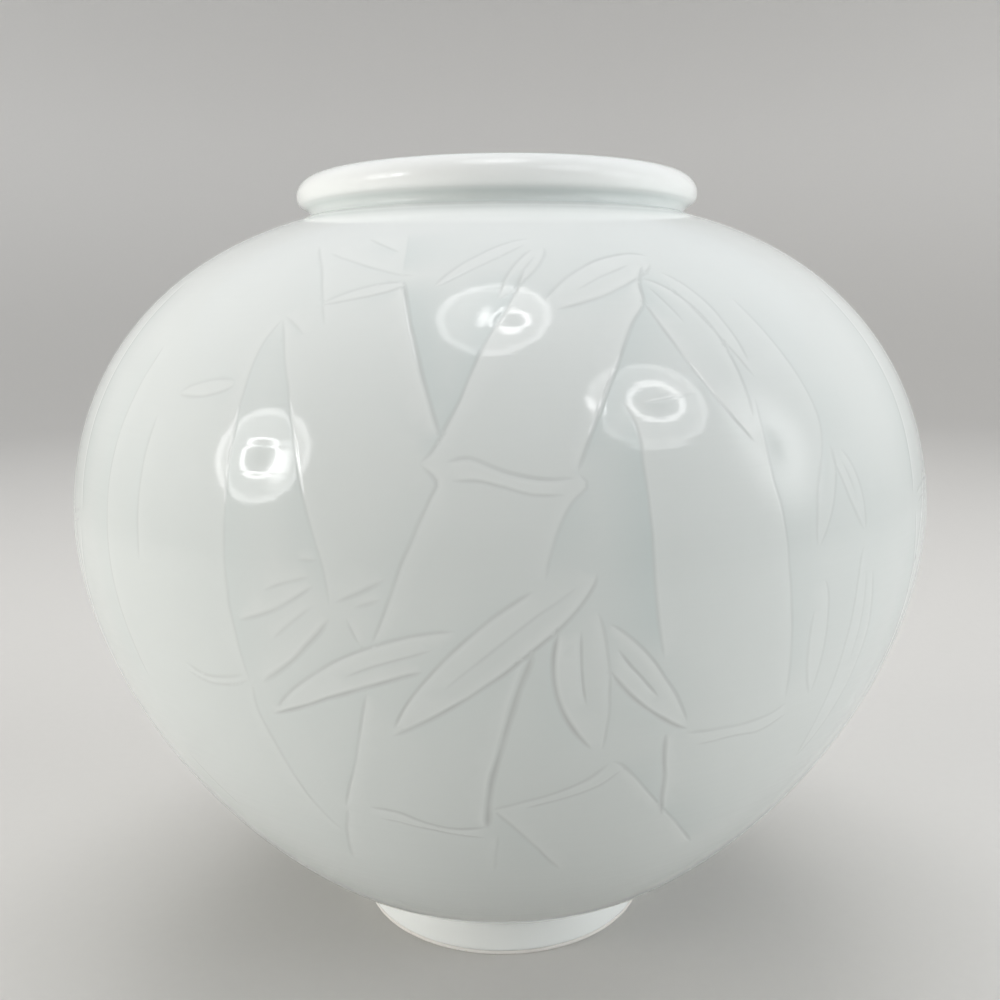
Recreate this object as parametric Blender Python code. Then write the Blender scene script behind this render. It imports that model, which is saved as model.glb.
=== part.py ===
"""A globular celadon vase on a turned foot, with a short neck and a thick rolled lip.

The vase is thrown in sections that are luted together: a foot ring, two bowls that meet at the
belly, a neck collar and a rolled lip. Three coats of glaze cover them. Every piece is turned about
the Z axis, stands on the plane z = 0 and is measured in metres.
"""

import math

import bmesh
import bpy

# Outside of the glazed vase, from the ground up
FOOT_RADIUS = 0.0494
FOOT_TAPER = 0.0019
FOOT_HEIGHT = 0.0134
BELLY_RADIUS = 0.135
BELLY_RISE = 0.129
SHOULDER_RISE = 0.0903
NECK_RADIUS = 0.0602
NECK_HEIGHT = 0.0029
LIP_OVERHANG = 0.0039
LIP_THICKNESS = 0.0097

# Shape of the wall: slopes at its two ends, and how full each bowl is drawn out
FOOT_SLOPE = math.radians(13.4)
NECK_SLOPE = math.radians(14.6)
FOOT_FULLNESS = 0.38
LOWER_BELLY_FULLNESS = 0.45
UPPER_BELLY_FULLNESS = 0.394
SHOULDER_FULLNESS = 0.744

# Thickness of the clay
BODY_WALL = 0.006
NECK_WALL = 0.005
FOOT_RING_WIDTH = 0.007

# Rounded edges
LIP_WIDEST_RISE = 0.0036
LIP_INNER_ROUND = 0.0034
LIP_INNER_DROP = 0.005
FOOT_CHAMFER = 0.0006

# Luting seams: a spigot under the base, a tongue at the belly, and the seats of neck and lip
BASE_SPIGOT = 0.001
BELLY_TONGUE = 0.003
NECK_SEAT = 0.002
LIP_SEAT = 0.0022

# Glaze, the bare band that is wiped clean round the foot, and the clearance at every seam
GLAZE = 0.0007
BARE_BAND = 0.0012
CLEARANCE = 0.0003

# Facets of the turned surfaces
FACETS = 48
LOWER_STEPS = 8
UPPER_STEPS = 7
LIP_STEPS = 5
LIP_INNER_STEPS = 3
SMOOTH_BELOW = math.radians(35)

# Sizes that follow from the ones above
COAT = GLAZE + CLEARANCE
FOOT_TOP_RADIUS = FOOT_RADIUS - FOOT_TAPER
FOOT_BORE = FOOT_RADIUS - COAT - FOOT_RING_WIDTH
SEAM_Z = FOOT_HEIGHT + BELLY_RISE
NECK_Z = SEAM_Z + SHOULDER_RISE
LIP_Z = NECK_Z + NECK_HEIGHT
NECK_BORE = NECK_RADIUS - COAT - NECK_WALL
MOUTH_RADIUS = NECK_BORE - COAT
LIP_RADIUS = NECK_RADIUS + LIP_OVERHANG
CROWN_RADIUS = MOUTH_RADIUS + LIP_INNER_ROUND
LIP_WIDEST_Z = LIP_Z + LIP_WIDEST_RISE
CROWN_Z = LIP_Z + LIP_THICKNESS
MOUTH_EDGE_Z = CROWN_Z - LIP_INNER_DROP


def bezier(ends, depth, steps):
    """Points along a cubic curve, each moved to its left, into the wall, by depth."""
    points = []
    (ax, az), (bx, bz), (cx, cz), (dx, dz) = ends
    for step in range(steps + 1):
        t = step / steps
        s = 1 - t
        x = s ** 3 * ax + 3 * s * s * t * bx + 3 * s * t * t * cx + t ** 3 * dx
        z = s ** 3 * az + 3 * s * s * t * bz + 3 * s * t * t * cz + t ** 3 * dz
        run = s * s * (bx - ax) + 2 * s * t * (cx - bx) + t * t * (dx - cx)
        rise = s * s * (bz - az) + 2 * s * t * (cz - bz) + t * t * (dz - cz)
        length = math.hypot(run, rise)
        points.append((x - depth * rise / length, z + depth * run / length))
    return points


def lower_wall(depth, start_radius=None):
    """The lower bowl's outline at a depth under the glazed face, from the foot up to the belly."""
    reach = FOOT_FULLNESS * (BELLY_RADIUS - FOOT_TOP_RADIUS)
    ends = (
        (FOOT_TOP_RADIUS, FOOT_HEIGHT),
        (FOOT_TOP_RADIUS + reach * math.cos(FOOT_SLOPE), FOOT_HEIGHT + reach * math.sin(FOOT_SLOPE)),
        (BELLY_RADIUS, SEAM_Z - LOWER_BELLY_FULLNESS * BELLY_RISE),
        (BELLY_RADIUS, SEAM_Z),
    )
    points = bezier(ends, depth, LOWER_STEPS)
    if start_radius is not None:
        radius, z = points[0]
        points[0] = (start_radius, z - (radius - start_radius) * math.tan(FOOT_SLOPE))
    return points


def upper_wall(depth, end_radius):
    """The upper bowl's outline at a depth under the glazed face, from the belly up to the neck."""
    reach = SHOULDER_FULLNESS * (BELLY_RADIUS - NECK_RADIUS)
    ends = (
        (BELLY_RADIUS, SEAM_Z),
        (BELLY_RADIUS, SEAM_Z + UPPER_BELLY_FULLNESS * SHOULDER_RISE),
        (NECK_RADIUS + reach * math.cos(NECK_SLOPE), NECK_Z - reach * math.sin(NECK_SLOPE)),
        (NECK_RADIUS, NECK_Z),
    )
    points = bezier(ends, depth, UPPER_STEPS)
    radius, z = points[-1]
    points[-1] = (end_radius, z + (radius - end_radius) * math.tan(NECK_SLOPE))
    return points


def lip_roll(depth):
    """The rolled lip's outline at a depth, from its lower edge over the crown into the mouth."""
    width = LIP_RADIUS - CROWN_RADIUS - depth
    height = CROWN_Z - LIP_WIDEST_Z - depth
    start = -math.asin((LIP_WIDEST_RISE - depth) / height)
    points = []
    for step in range(LIP_STEPS + 1):
        angle = start + (math.pi / 2 - start) * step / LIP_STEPS
        points.append((CROWN_RADIUS + width * math.cos(angle), LIP_WIDEST_Z + height * math.sin(angle)))
    for step in range(1, LIP_INNER_STEPS + 1):
        angle = math.pi / 2 * step / LIP_INNER_STEPS
        radius = CROWN_RADIUS - (LIP_INNER_ROUND - depth) * math.sin(angle)
        points.append((radius, MOUTH_EDGE_Z + (LIP_INNER_DROP - depth) * math.cos(angle)))
    return points


def turned(name, outline, material, parent):
    """A solid turned about Z from a closed outline of (radius, height) points."""
    bm = bmesh.new()
    verts = [bm.verts.new((radius, 0, z)) for radius, z in outline]
    edges = [bm.edges.new(pair) for pair in zip(verts, verts[1:])]
    if outline[0][0] > 0 or outline[-1][0] > 0:
        edges.append(bm.edges.new((verts[-1], verts[0])))
    bmesh.ops.spin(
        bm,
        geom=verts + edges,
        cent=(0, 0, 0),
        axis=(0, 0, 1),
        angle=2 * math.pi,
        steps=FACETS,
        use_merge=True,
    )
    bmesh.ops.remove_doubles(bm, verts=bm.verts, dist=CLEARANCE / 100)
    bmesh.ops.recalc_face_normals(bm, faces=bm.faces)
    mesh = bpy.data.meshes.new(name)
    bm.to_mesh(mesh)
    bm.free()
    mesh.shade_smooth()
    mesh.set_sharp_from_angle(angle=SMOOTH_BELOW)
    mesh.materials.append(material)
    piece = bpy.data.objects.new(name, mesh)
    bpy.context.scene.collection.objects.link(piece)
    piece.parent = parent
    return piece


def finish(name, colour, roughness):
    """A ceramic surface of one colour."""
    material = bpy.data.materials.new(name)
    material.use_nodes = True
    shader = material.node_tree.nodes["Principled BSDF"]
    shader.inputs["Base Color"].default_value = (*colour, 1)
    shader.inputs["Roughness"].default_value = roughness
    shader.inputs["Metallic"].default_value = 0
    return material


def foot_ring(parent):
    """The turned ring that the vase stands on, with a chamfer at each edge of its contact face."""
    outer = FOOT_RADIUS - COAT
    outline = [
        (outer, FOOT_CHAMFER),
        (outer - FOOT_CHAMFER, 0),
        (FOOT_BORE + FOOT_CHAMFER, 0),
        (FOOT_BORE, FOOT_CHAMFER),
        (FOOT_BORE, FOOT_HEIGHT - CLEARANCE),
        (FOOT_TOP_RADIUS - COAT, FOOT_HEIGHT - CLEARANCE),
    ]
    return turned("foot_ring", outline, finish("bare_foot_clay", (0.74, 0.72, 0.67), 0.75), parent)


def lower_body(parent):
    """The lower bowl: a spigot under its base fits the foot ring, and a tongue stands on its rim."""
    outside = lower_wall(COAT, FOOT_TOP_RADIUS - COAT)
    inside = lower_wall(COAT + BODY_WALL)
    rim_radius = outside[-1][0]
    bore_radius = inside[-1][0]
    tongue_radius = (rim_radius + bore_radius) / 2
    spigot_z = FOOT_HEIGHT - BASE_SPIGOT
    outline = [(0, spigot_z), (FOOT_BORE - CLEARANCE, spigot_z), (FOOT_BORE - CLEARANCE, FOOT_HEIGHT)]
    outline.append((FOOT_TOP_RADIUS - COAT, FOOT_HEIGHT))
    outline += outside
    outline.append((tongue_radius, SEAM_Z))
    outline.append((tongue_radius, SEAM_Z + BELLY_TONGUE))
    outline.append((bore_radius, SEAM_Z + BELLY_TONGUE))
    outline += reversed(inside[:-1])
    outline.append((0, inside[0][1]))
    return turned("lower_body", outline, finish("lower_body_clay", (0.80, 0.79, 0.75), 0.8), parent)


def upper_body(parent):
    """The upper bowl: its rim closes over the lower bowl's tongue, and its top seats the neck."""
    seat_radius = NECK_RADIUS - COAT + CLEARANCE
    outside = upper_wall(COAT, seat_radius)
    inside = upper_wall(COAT + BODY_WALL, NECK_BORE)
    rim_radius = outside[0][0]
    bore_radius = inside[0][0]
    groove_radius = (rim_radius + bore_radius) / 2 + CLEARANCE
    groove_z = SEAM_Z + BELLY_TONGUE + CLEARANCE
    outline = [(rim_radius, SEAM_Z + CLEARANCE)]
    outline += outside[1:]
    seat_z = outside[-1][1] - NECK_SEAT
    outline.append((seat_radius, seat_z))
    outline.append((NECK_BORE, seat_z))
    outline += reversed(inside[1:])
    outline.append((bore_radius, groove_z))
    outline.append((groove_radius, groove_z))
    outline.append((groove_radius, SEAM_Z + CLEARANCE))
    return turned("upper_body", outline, finish("upper_body_clay", (0.81, 0.80, 0.76), 0.8), parent)


def neck(parent):
    """The collar that stands in the shoulder's seat and carries the lip."""
    outer = NECK_RADIUS - COAT
    seat_top = upper_wall(COAT, outer + CLEARANCE)[-1][1]
    foot_z = seat_top - NECK_SEAT + CLEARANCE
    top_z = LIP_Z + COAT + LIP_SEAT - CLEARANCE
    outline = [(outer, foot_z), (outer, top_z), (NECK_BORE, top_z), (NECK_BORE, foot_z)]
    return turned("neck", outline, finish("neck_clay", (0.79, 0.78, 0.74), 0.8), parent)


def rolled_lip(parent):
    """The thick roll that is laid over the collar's top edge."""
    seat_radius = NECK_RADIUS - COAT + CLEARANCE
    seat_z = LIP_Z + COAT + LIP_SEAT
    outline = [(seat_radius, LIP_Z + COAT)]
    outline += lip_roll(COAT)
    outline.append((NECK_BORE, seat_z))
    outline.append((seat_radius, seat_z))
    return turned("rolled_lip", outline, finish("lip_clay", (0.82, 0.81, 0.78), 0.8), parent)


def outside_face(depth):
    """The outside at a depth under the glaze's face, from the foot over the lip into the mouth."""
    outline = [(FOOT_RADIUS - depth, BARE_BAND)]
    outline += lower_wall(depth, FOOT_TOP_RADIUS - depth)
    outline += upper_wall(depth, NECK_RADIUS - depth)[1:]
    outline.append((NECK_RADIUS - depth, LIP_Z + depth))
    outline += lip_roll(depth)
    return outline


def outside_glaze(parent):
    """The coat on the outside, from the bare band at the foot to the inner edge of the lip."""
    outline = outside_face(0)
    outline += reversed(outside_face(GLAZE))
    return turned("outside_glaze", outline, finish("celadon_outside", (0.73, 0.79, 0.77), 0.08), parent)


def inside_face(depth, bore):
    """The inside at a depth under the outer face, from the centre of the floor up to the mouth."""
    wall = lower_wall(depth)
    outline = [(0, wall[0][1])]
    outline += wall
    outline += upper_wall(depth, bore)[1:]
    outline.append((bore, MOUTH_EDGE_Z - CLEARANCE))
    return outline


def inside_glaze(parent):
    """The coat on the inside, which meets the outside coat in the mouth."""
    back = COAT + BODY_WALL + CLEARANCE
    outline = inside_face(back, NECK_BORE - CLEARANCE)
    outline += reversed(inside_face(back + GLAZE, MOUTH_RADIUS))
    return turned("inside_glaze", outline, finish("celadon_inside", (0.72, 0.78, 0.76), 0.1), parent)


def base_glaze(parent):
    """The coat in the hollow of the foot, under the base and down the ring's inner wall."""
    outer = FOOT_BORE - CLEARANCE
    back_z = FOOT_HEIGHT - BASE_SPIGOT - CLEARANCE
    face_z = back_z - GLAZE
    outline = [(0, face_z), (outer - GLAZE, face_z), (outer - GLAZE, BARE_BAND)]
    outline += [(outer, BARE_BAND), (outer, back_z), (0, back_z)]
    return turned("base_glaze", outline, finish("celadon_base", (0.71, 0.78, 0.76), 0.12), parent)


def build_vase():
    """Clears the scene and makes every piece under one empty."""
    for old in list(bpy.data.objects):
        bpy.data.objects.remove(old)
    vase = bpy.data.objects.new("vase", None)
    bpy.context.scene.collection.objects.link(vase)
    foot_ring(vase)
    lower_body(vase)
    upper_body(vase)
    neck(vase)
    rolled_lip(vase)
    outside_glaze(vase)
    inside_glaze(vase)
    base_glaze(vase)


build_vase()
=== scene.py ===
"""Dresses a globular celadon vase: carved and glazed outside, glazed inside, and a bare foot.

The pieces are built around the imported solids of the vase, in metres, with Z up and the vase standing on
z = 0. The outside coat is one surface: its wall follows the turned outline, and the bamboo is cut into
it as real grooves. The other coats and the foot are turned from an outline by Geometry Nodes.
"""

import math

import bmesh
import bpy
import numpy as np
from bpy.props import FloatProperty, FloatVectorProperty, IntProperty, PointerProperty
from mathutils import Matrix, Vector
from mathutils.geometry import delaunay_2d_cdt
from mathutils.kdtree import KDTree


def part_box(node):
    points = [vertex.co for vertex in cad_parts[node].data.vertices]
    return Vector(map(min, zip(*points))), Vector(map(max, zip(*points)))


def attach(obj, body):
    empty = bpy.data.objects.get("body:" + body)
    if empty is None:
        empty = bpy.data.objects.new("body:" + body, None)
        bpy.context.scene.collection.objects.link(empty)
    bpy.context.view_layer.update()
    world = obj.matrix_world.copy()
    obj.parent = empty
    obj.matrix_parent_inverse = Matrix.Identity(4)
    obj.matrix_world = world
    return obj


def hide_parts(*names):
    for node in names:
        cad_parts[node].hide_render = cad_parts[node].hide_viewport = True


bl_info = {
    "name": "Celadon Vase",
    "version": (1, 0, 0),
    "blender": (4, 5, 0),
    "location": "View3D > Sidebar > Vase",
    "description": "Carves, glazes and stages a globular celadon vase",
    "category": "Object",
}

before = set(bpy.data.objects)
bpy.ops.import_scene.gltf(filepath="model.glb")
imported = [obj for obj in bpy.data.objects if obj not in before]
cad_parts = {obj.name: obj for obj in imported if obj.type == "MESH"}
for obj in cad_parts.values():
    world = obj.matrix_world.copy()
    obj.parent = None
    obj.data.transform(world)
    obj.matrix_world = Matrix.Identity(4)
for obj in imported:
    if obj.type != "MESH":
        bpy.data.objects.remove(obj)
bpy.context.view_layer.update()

MM = 0.001
CIRCLE = 2 * math.pi

# Coat thickness and seam clearance of the solids, and the thickness of their clay walls
GLAZE = 0.7 * MM
CLEARANCE = 0.3 * MM
COAT = GLAZE + CLEARANCE
BODY_WALL = 6 * MM
NECK_WALL = 5 * MM

# The turned outline: slopes at the ends of the wall, and how full each bowl is drawn out
FOOT_TAPER = 1.9 * MM
FOOT_SLOPE = math.radians(13.4)
NECK_SLOPE = math.radians(14.6)
NECK_HEIGHT = 2.9 * MM
FOOT_FULLNESS = 0.38
LOWER_BELLY_FULLNESS = 0.45
UPPER_BELLY_FULLNESS = 0.394
SHOULDER_FULLNESS = 0.744
LIP_WIDEST_RISE = 3.6 * MM
LIP_LOWER_ROUND = 0.9 * MM
LIP_INNER_ROUND = 3.4 * MM
LIP_INNER_DROP = 5 * MM

OUTSIDE_LOW, OUTSIDE_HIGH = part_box("outside_glaze")
FOOT_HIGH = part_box("foot_ring")[1]
UPPER_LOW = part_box("upper_body")[0]
LIP_LOW, LIP_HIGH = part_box("rolled_lip")
NECK_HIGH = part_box("neck")[1]
BASE_LOW, BASE_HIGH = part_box("base_glaze")

BELLY_RADIUS = OUTSIDE_HIGH.x
BARE_BAND = OUTSIDE_LOW.z
CROWN_Z = OUTSIDE_HIGH.z
FOOT_RADIUS = FOOT_HIGH.x + COAT
FOOT_TOP_RADIUS = FOOT_RADIUS - FOOT_TAPER
FOOT_HEIGHT = FOOT_HIGH.z + CLEARANCE
SEAM_Z = UPPER_LOW.z - CLEARANCE
LIP_Z = LIP_LOW.z - COAT
NECK_Z = LIP_Z - NECK_HEIGHT
NECK_RADIUS = NECK_HIGH.x + COAT
LIP_RADIUS = LIP_HIGH.x + COAT
MOUTH_RADIUS = NECK_RADIUS - NECK_WALL - 2 * COAT
CROWN_RADIUS = MOUTH_RADIUS + LIP_INNER_ROUND
LIP_WIDEST_Z = LIP_Z + LIP_WIDEST_RISE
MOUTH_EDGE_Z = CROWN_Z - LIP_INNER_DROP
BASE_RADIUS = BASE_HIGH.x - GLAZE


def length(name, description, default, least, most):
    """A length in metres that a user may change."""
    return FloatProperty(
        name=name, description=description, default=default, min=least, max=most, unit="LENGTH",
    )


def colour(name, description, default):
    """A colour that a user may change."""
    return FloatVectorProperty(
        name=name, description=description, default=default, min=0, max=1, subtype="COLOR",
    )


class VaseSettings(bpy.types.PropertyGroup):
    """Sizes and colours that a user may change."""

    line_depth: length(
        "Line Depth", "Depth that the glaze leaves of the boldest carved line", 0.09 * MM, 0, 0.45 * MM,
    )
    bevel_depth: length(
        "Bevel Depth", "Depth of the slope that is pared away beside a line", 0.05 * MM, 0, 0.2 * MM,
    )
    glaze_softness: length(
        "Glaze Softness", "How far the glaze rounds each corner of the outline", 0.7 * MM, 0.1 * MM, 3 * MM,
    )
    ring_height: length(
        "Ring Height", "Height of the throwing rings inside the vase", 0.12 * MM, 0, 0.2 * MM,
    )
    ring_pitch: length(
        "Ring Pitch", "Distance between the throwing rings inside the vase", 7 * MM, 2 * MM, 30 * MM,
    )
    facets: IntProperty(
        name="Facets", description="Sides of the surfaces turned by Geometry Nodes",
        default=192, min=24, max=512,
    )
    glaze_colour: colour("Glaze", "Colour of the glaze at its usual thickness", (0.652, 0.687, 0.673))
    # Besides thin glaze, this colour paints light on the lip, the cove, the shoulder, the ring under the
    # neck and the arrises
    thin_glaze_and_painted_light_colour: colour("Thin Glaze", "Colour where the glaze runs thin", (0.872, 0.888, 0.877))
    pooled_colour: colour("Pooled Glaze", "Colour where the glaze lies thick", (0.365, 0.475, 0.475))
    line_colour: colour("Line", "Colour of the glaze that fills a carved line", (0.53, 0.555, 0.545))
    clay_colour: colour("Clay", "Colour of the bare fired clay", (0.80, 0.795, 0.775))
    floor_colour: colour("Floor", "Colour of the floor", (0.58, 0.57, 0.55))
    backdrop_colour: colour("Backdrop", "Colour of the backdrop behind the floor", (0.82, 0.81, 0.79))
    lamp_strength: FloatProperty(
        name="Lamp Strength", description="Multiplies the power of every lamp", default=1, min=0, max=4,
    )


# Nodes, and the groups that more than one material uses

def fill(node, inputs):
    """Sets each input, by name or number, to a value, or links it to another node's output."""
    for key, value in inputs.items():
        if isinstance(value, bpy.types.NodeSocket):
            node.id_data.links.new(value, node.inputs[key])
        else:
            node.inputs[key].default_value = value


def add_node(tree, kind, inputs=None, **settings):
    """A node with its settings and its inputs."""
    node = tree.nodes.new(kind)
    for key, value in settings.items():
        setattr(node, key, value)
    fill(node, inputs or {})
    return node


def calc(tree, operation, *inputs, clamp=False):
    """The result of one operation on numbers."""
    values = dict(enumerate(inputs))
    return add_node(tree, "ShaderNodeMath", values, operation=operation, use_clamp=clamp).outputs[0]


def vector(tree, operation, *inputs):
    """The result of one operation on vectors. A length is its own output."""
    node = add_node(tree, "ShaderNodeVectorMath", dict(enumerate(inputs)), operation=operation)
    return node.outputs["Value" if operation == "LENGTH" else "Vector"]


def scaled(tree, value, scale):
    """A vector or colour times a number."""
    return add_node(tree, "ShaderNodeVectorMath", {0: value, "Scale": scale}, operation="SCALE").outputs[0]


def blend(tree, share, first, second):
    """The first colour where the share is 0, and the second where it is 1."""
    inputs = {0: share, 6: first, 7: second}
    return add_node(tree, "ShaderNodeMix", inputs, data_type="RGBA").outputs[2]


def noise(tree, inputs, dimensions="3D"):
    """Height of a noise."""
    return add_node(tree, "ShaderNodeTexNoise", inputs, noise_dimensions=dimensions).outputs[0]


def fade(tree, value, start, end, first, last, smooth=True):
    """Runs from the first number to the last while the value goes from start to end."""
    inputs = dict(enumerate((value, start, end, first, last)))
    kind = "SMOOTHSTEP" if smooth else "LINEAR"
    return add_node(tree, "ShaderNodeMapRange", inputs, interpolation_type=kind).outputs["Result"]


def object_place(tree):
    """The place on the object."""
    return tree.nodes.new("ShaderNodeTexCoord").outputs["Object"]


def height_on_object(tree):
    """The height of the place on the object."""
    return add_node(tree, "ShaderNodeSeparateXYZ", {0: object_place(tree)}).outputs["Z"]


def node_group(name, inputs, outputs, tree_kind="ShaderNodeTree"):
    """Makes a function that wires a group into one that returns the group, built on its first call.

    An input is given by its socket's kind or by its value: a number, a vector or a colour. The wiring
    function gets the group and its input sockets, and returns what goes to each output.
    """

    def add_socket(group, label, direction, value):
        kind = value if isinstance(value, str) else {3: "Vector", 4: "Color"}.get(np.size(value), "Float")
        socket = group.interface.new_socket(label, in_out=direction, socket_type=f"NodeSocket{kind}")
        if kind != value:
            socket.default_value = value

    def decorate(wire):
        def built():
            group = bpy.data.node_groups.get(name)
            if group is None:
                group = bpy.data.node_groups.new(name, tree_kind)
                for label, value in inputs.items():
                    add_socket(group, label, "INPUT", value)
                for label, kind in outputs.items():
                    add_socket(group, label, "OUTPUT", kind)
                results = wire(group, group.nodes.new("NodeGroupInput").outputs)
                fill(group.nodes.new("NodeGroupOutput"), dict(enumerate(results)))
            return group
        return built
    return decorate


@node_group(
    "glaze_thickness",
    {
        "Glaze": (0.7, 0.7, 0.7, 1), "Thin": (0.8, 0.8, 0.8, 1), "Pooled": (0.4, 0.4, 0.4, 1),
        "Line Colour": (0.4, 0.4, 0.4, 1), "Pool": 0.0, "Line": 0.0, "Edge": 0.0,
        "Cloud Size": 0.05, "Cloud Amount": 0.1,
    },
    {"Color": "Color"},
)
def glaze_group(tree, given):
    """Glaze colour from its thickness, with soft clouds where it is a little thicker or thinner. The Edge
    share also carries painted light.
    """
    scale = calc(tree, "DIVIDE", 1.0, given["Cloud Size"])
    clouds = noise(tree, {"Vector": object_place(tree), "Scale": scale, "Detail": 3.0, "Roughness": 0.55})
    change = calc(tree, "MULTIPLY", calc(tree, "SUBTRACT", clouds, 0.5), given["Cloud Amount"])
    thinned = calc(tree, "SUBTRACT", given["Edge"], change, clamp=True)
    pooled = calc(tree, "ADD", given["Pool"], change, clamp=True)
    over_edge = blend(tree, thinned, given["Glaze"], given["Thin"])
    in_pool = blend(tree, pooled, over_edge, given["Pooled"])
    return [blend(tree, given["Line"], in_pool, given["Line Colour"])]


@node_group("turning_lines", {"Pitch": 0.002, "Waviness": 0.3}, {"Height": "Float"})
def turning_group(tree, given):
    """Height of the fine level lines that turning and a brushed glaze leave round a vessel."""
    wave = noise(tree, {"Vector": object_place(tree), "Scale": 9.0, "Detail": 1.0})
    level = calc(tree, "DIVIDE", height_on_object(tree), given["Pitch"])
    shifted = calc(tree, "ADD", level, calc(tree, "MULTIPLY", wave, given["Waviness"]))
    return [noise(tree, {"W": shifted, "Scale": 1.0, "Detail": 2.0}, "1D")]


@node_group(
    "clay_grain",
    {
        "Clay": (0.7, 0.7, 0.7, 1), "Stain": (0.4, 0.35, 0.3, 1), "Grain Scale": 2500.0,
        "Stain Amount": 0.3,
    },
    {"Color": "Color", "Height": "Float"},
)
def grain_group(tree, given):
    """Colour and height of fired clay: fine sand, a few darker grains and soft smoke stains."""
    place = object_place(tree)
    sand = {"Vector": place, "Scale": given["Grain Scale"], "Detail": 4.0, "Roughness": 0.7}
    smoke = noise(tree, {"Vector": place, "Scale": 45.0, "Detail": 3.0})
    specks = add_node(tree, "ShaderNodeTexVoronoi", {"Vector": place, "Scale": 900.0})
    dark = calc(tree, "LESS_THAN", specks.outputs["Distance"], 0.09)
    total = calc(tree, "MAXIMUM", calc(tree, "MULTIPLY", smoke, given["Stain Amount"]), dark)
    return [blend(tree, total, given["Clay"], given["Stain"]), noise(tree, sand)]


def opaque(colour_value):
    """A colour with full alpha."""
    return (*colour_value, 1.0)


def new_material(name):
    """A material, its node tree and its Principled BSDF."""
    material = bpy.data.materials.new(name)
    material.use_nodes = True
    return material, material.node_tree, material.node_tree.nodes["Principled BSDF"]


def bumped(tree, height, distance, strength=1.0):
    """The normal of a surface that a height raises by up to a distance."""
    inputs = {"Strength": strength, "Distance": distance, "Height": height}
    return add_node(tree, "ShaderNodeBump", inputs).outputs["Normal"]


# How much duller the glaze is on a turned line, and the stain that smoke leaves on bare clay
DULLER = 0.03
SMOKE_STAIN = (0.42, 0.34, 0.26, 1)


def glaze_material(name, settings, cloud_size, cloud_amount, line_pitch, line_height, roughness):
    """Glossy celadon over white clay. The mesh's attributes say where it lies thick, thin or in a line, and
    where light is painted in.
    """
    material, tree, shader = new_material(name)
    values = {
        "Glaze": opaque(settings.glaze_colour), "Thin": opaque(settings.thin_glaze_and_painted_light_colour),
        "Pooled": opaque(settings.pooled_colour), "Line Colour": opaque(settings.line_colour),
        "Cloud Size": cloud_size, "Cloud Amount": cloud_amount,
    }
    for label in ("Pool", "Line", "Edge"):
        attribute = add_node(tree, "ShaderNodeAttribute", attribute_name=label.lower())
        values[label] = attribute.outputs["Fac"]
    glaze = add_node(tree, "ShaderNodeGroup", values, node_tree=glaze_group())
    lines = add_node(tree, "ShaderNodeGroup", {"Pitch": line_pitch}, node_tree=turning_group())
    height = lines.outputs["Height"]
    fill(shader, {
        "Base Color": glaze.outputs["Color"],
        "Normal": bumped(tree, height, line_height),
        "Roughness": fade(tree, height, 0, 1, roughness, roughness + DULLER, smooth=False),
        "IOR": 1.5,
    })
    return material


def clay_material(name, settings, stain_amount, grain_height, roughness):
    """Bare fired clay."""
    material, tree, shader = new_material(name)
    clay = opaque(settings.clay_colour)
    values = {"Clay": clay, "Stain": SMOKE_STAIN, "Stain Amount": stain_amount}
    grain = add_node(tree, "ShaderNodeGroup", values, node_tree=grain_group())
    fill(shader, {
        "Base Color": grain.outputs["Color"],
        "Normal": bumped(tree, grain.outputs["Height"], grain_height, 0.6),
        "Roughness": roughness,
    })
    return material


# Rows of points

def steps(points):
    """Distance from each point to the next."""
    return np.hypot(*np.diff(points, axis=0).T)


def running_total(values):
    """The sum of the values before each point, from 0 at the first."""
    return np.concatenate(([0], np.cumsum(values)))


def unit(vectors):
    """The vectors, each with length 1."""
    return vectors / np.hypot(vectors[:, 0], vectors[:, 1])[:, None]


def left_of(vectors):
    """The vectors, each turned a quarter to the left."""
    return np.stack((-vectors[:, 1], vectors[:, 0]), 1)


def read_table(places, known, table):
    """Each column of a table, read at places between the known ones."""
    return np.stack([np.interp(places, known, column) for column in table.T], 1)


# The turned outline

def bezier(ends, depth, count=200):
    """Points along a cubic curve, each moved to its left, into the wall, by depth."""
    t = np.linspace(0, 1, count + 1)[:, None]
    s = 1 - t
    a, b, c, d = np.array(ends)
    points = s ** 3 * a + 3 * s * s * t * b + 3 * s * t * t * c + t ** 3 * d
    slope = s * s * (b - a) + 2 * s * t * (c - b) + t * t * (d - c)
    return points + depth * left_of(unit(slope))


def lower_wall(depth):
    """The lower bowl from the foot up to the belly, at a depth under the glaze's face."""
    reach = FOOT_FULLNESS * (BELLY_RADIUS - FOOT_TOP_RADIUS)
    rise = SEAM_Z - FOOT_HEIGHT
    ends = (
        (FOOT_TOP_RADIUS, FOOT_HEIGHT),
        (FOOT_TOP_RADIUS + reach * math.cos(FOOT_SLOPE), FOOT_HEIGHT + reach * math.sin(FOOT_SLOPE)),
        (BELLY_RADIUS, SEAM_Z - LOWER_BELLY_FULLNESS * rise),
        (BELLY_RADIUS, SEAM_Z),
    )
    return bezier(ends, depth)


def upper_wall(depth, end_radius):
    """The upper bowl from the belly up to the neck, at a depth under the glaze's face."""
    reach = SHOULDER_FULLNESS * (BELLY_RADIUS - NECK_RADIUS)
    rise = NECK_Z - SEAM_Z
    ends = (
        (BELLY_RADIUS, SEAM_Z),
        (BELLY_RADIUS, SEAM_Z + UPPER_BELLY_FULLNESS * rise),
        (NECK_RADIUS + reach * math.cos(NECK_SLOPE), NECK_Z - reach * math.sin(NECK_SLOPE)),
        (NECK_RADIUS, NECK_Z),
    )
    points = bezier(ends, depth)
    radius, z = points[-1]
    points[-1] = (end_radius, z + (radius - end_radius) * math.tan(NECK_SLOPE))
    return points[1:]


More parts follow.
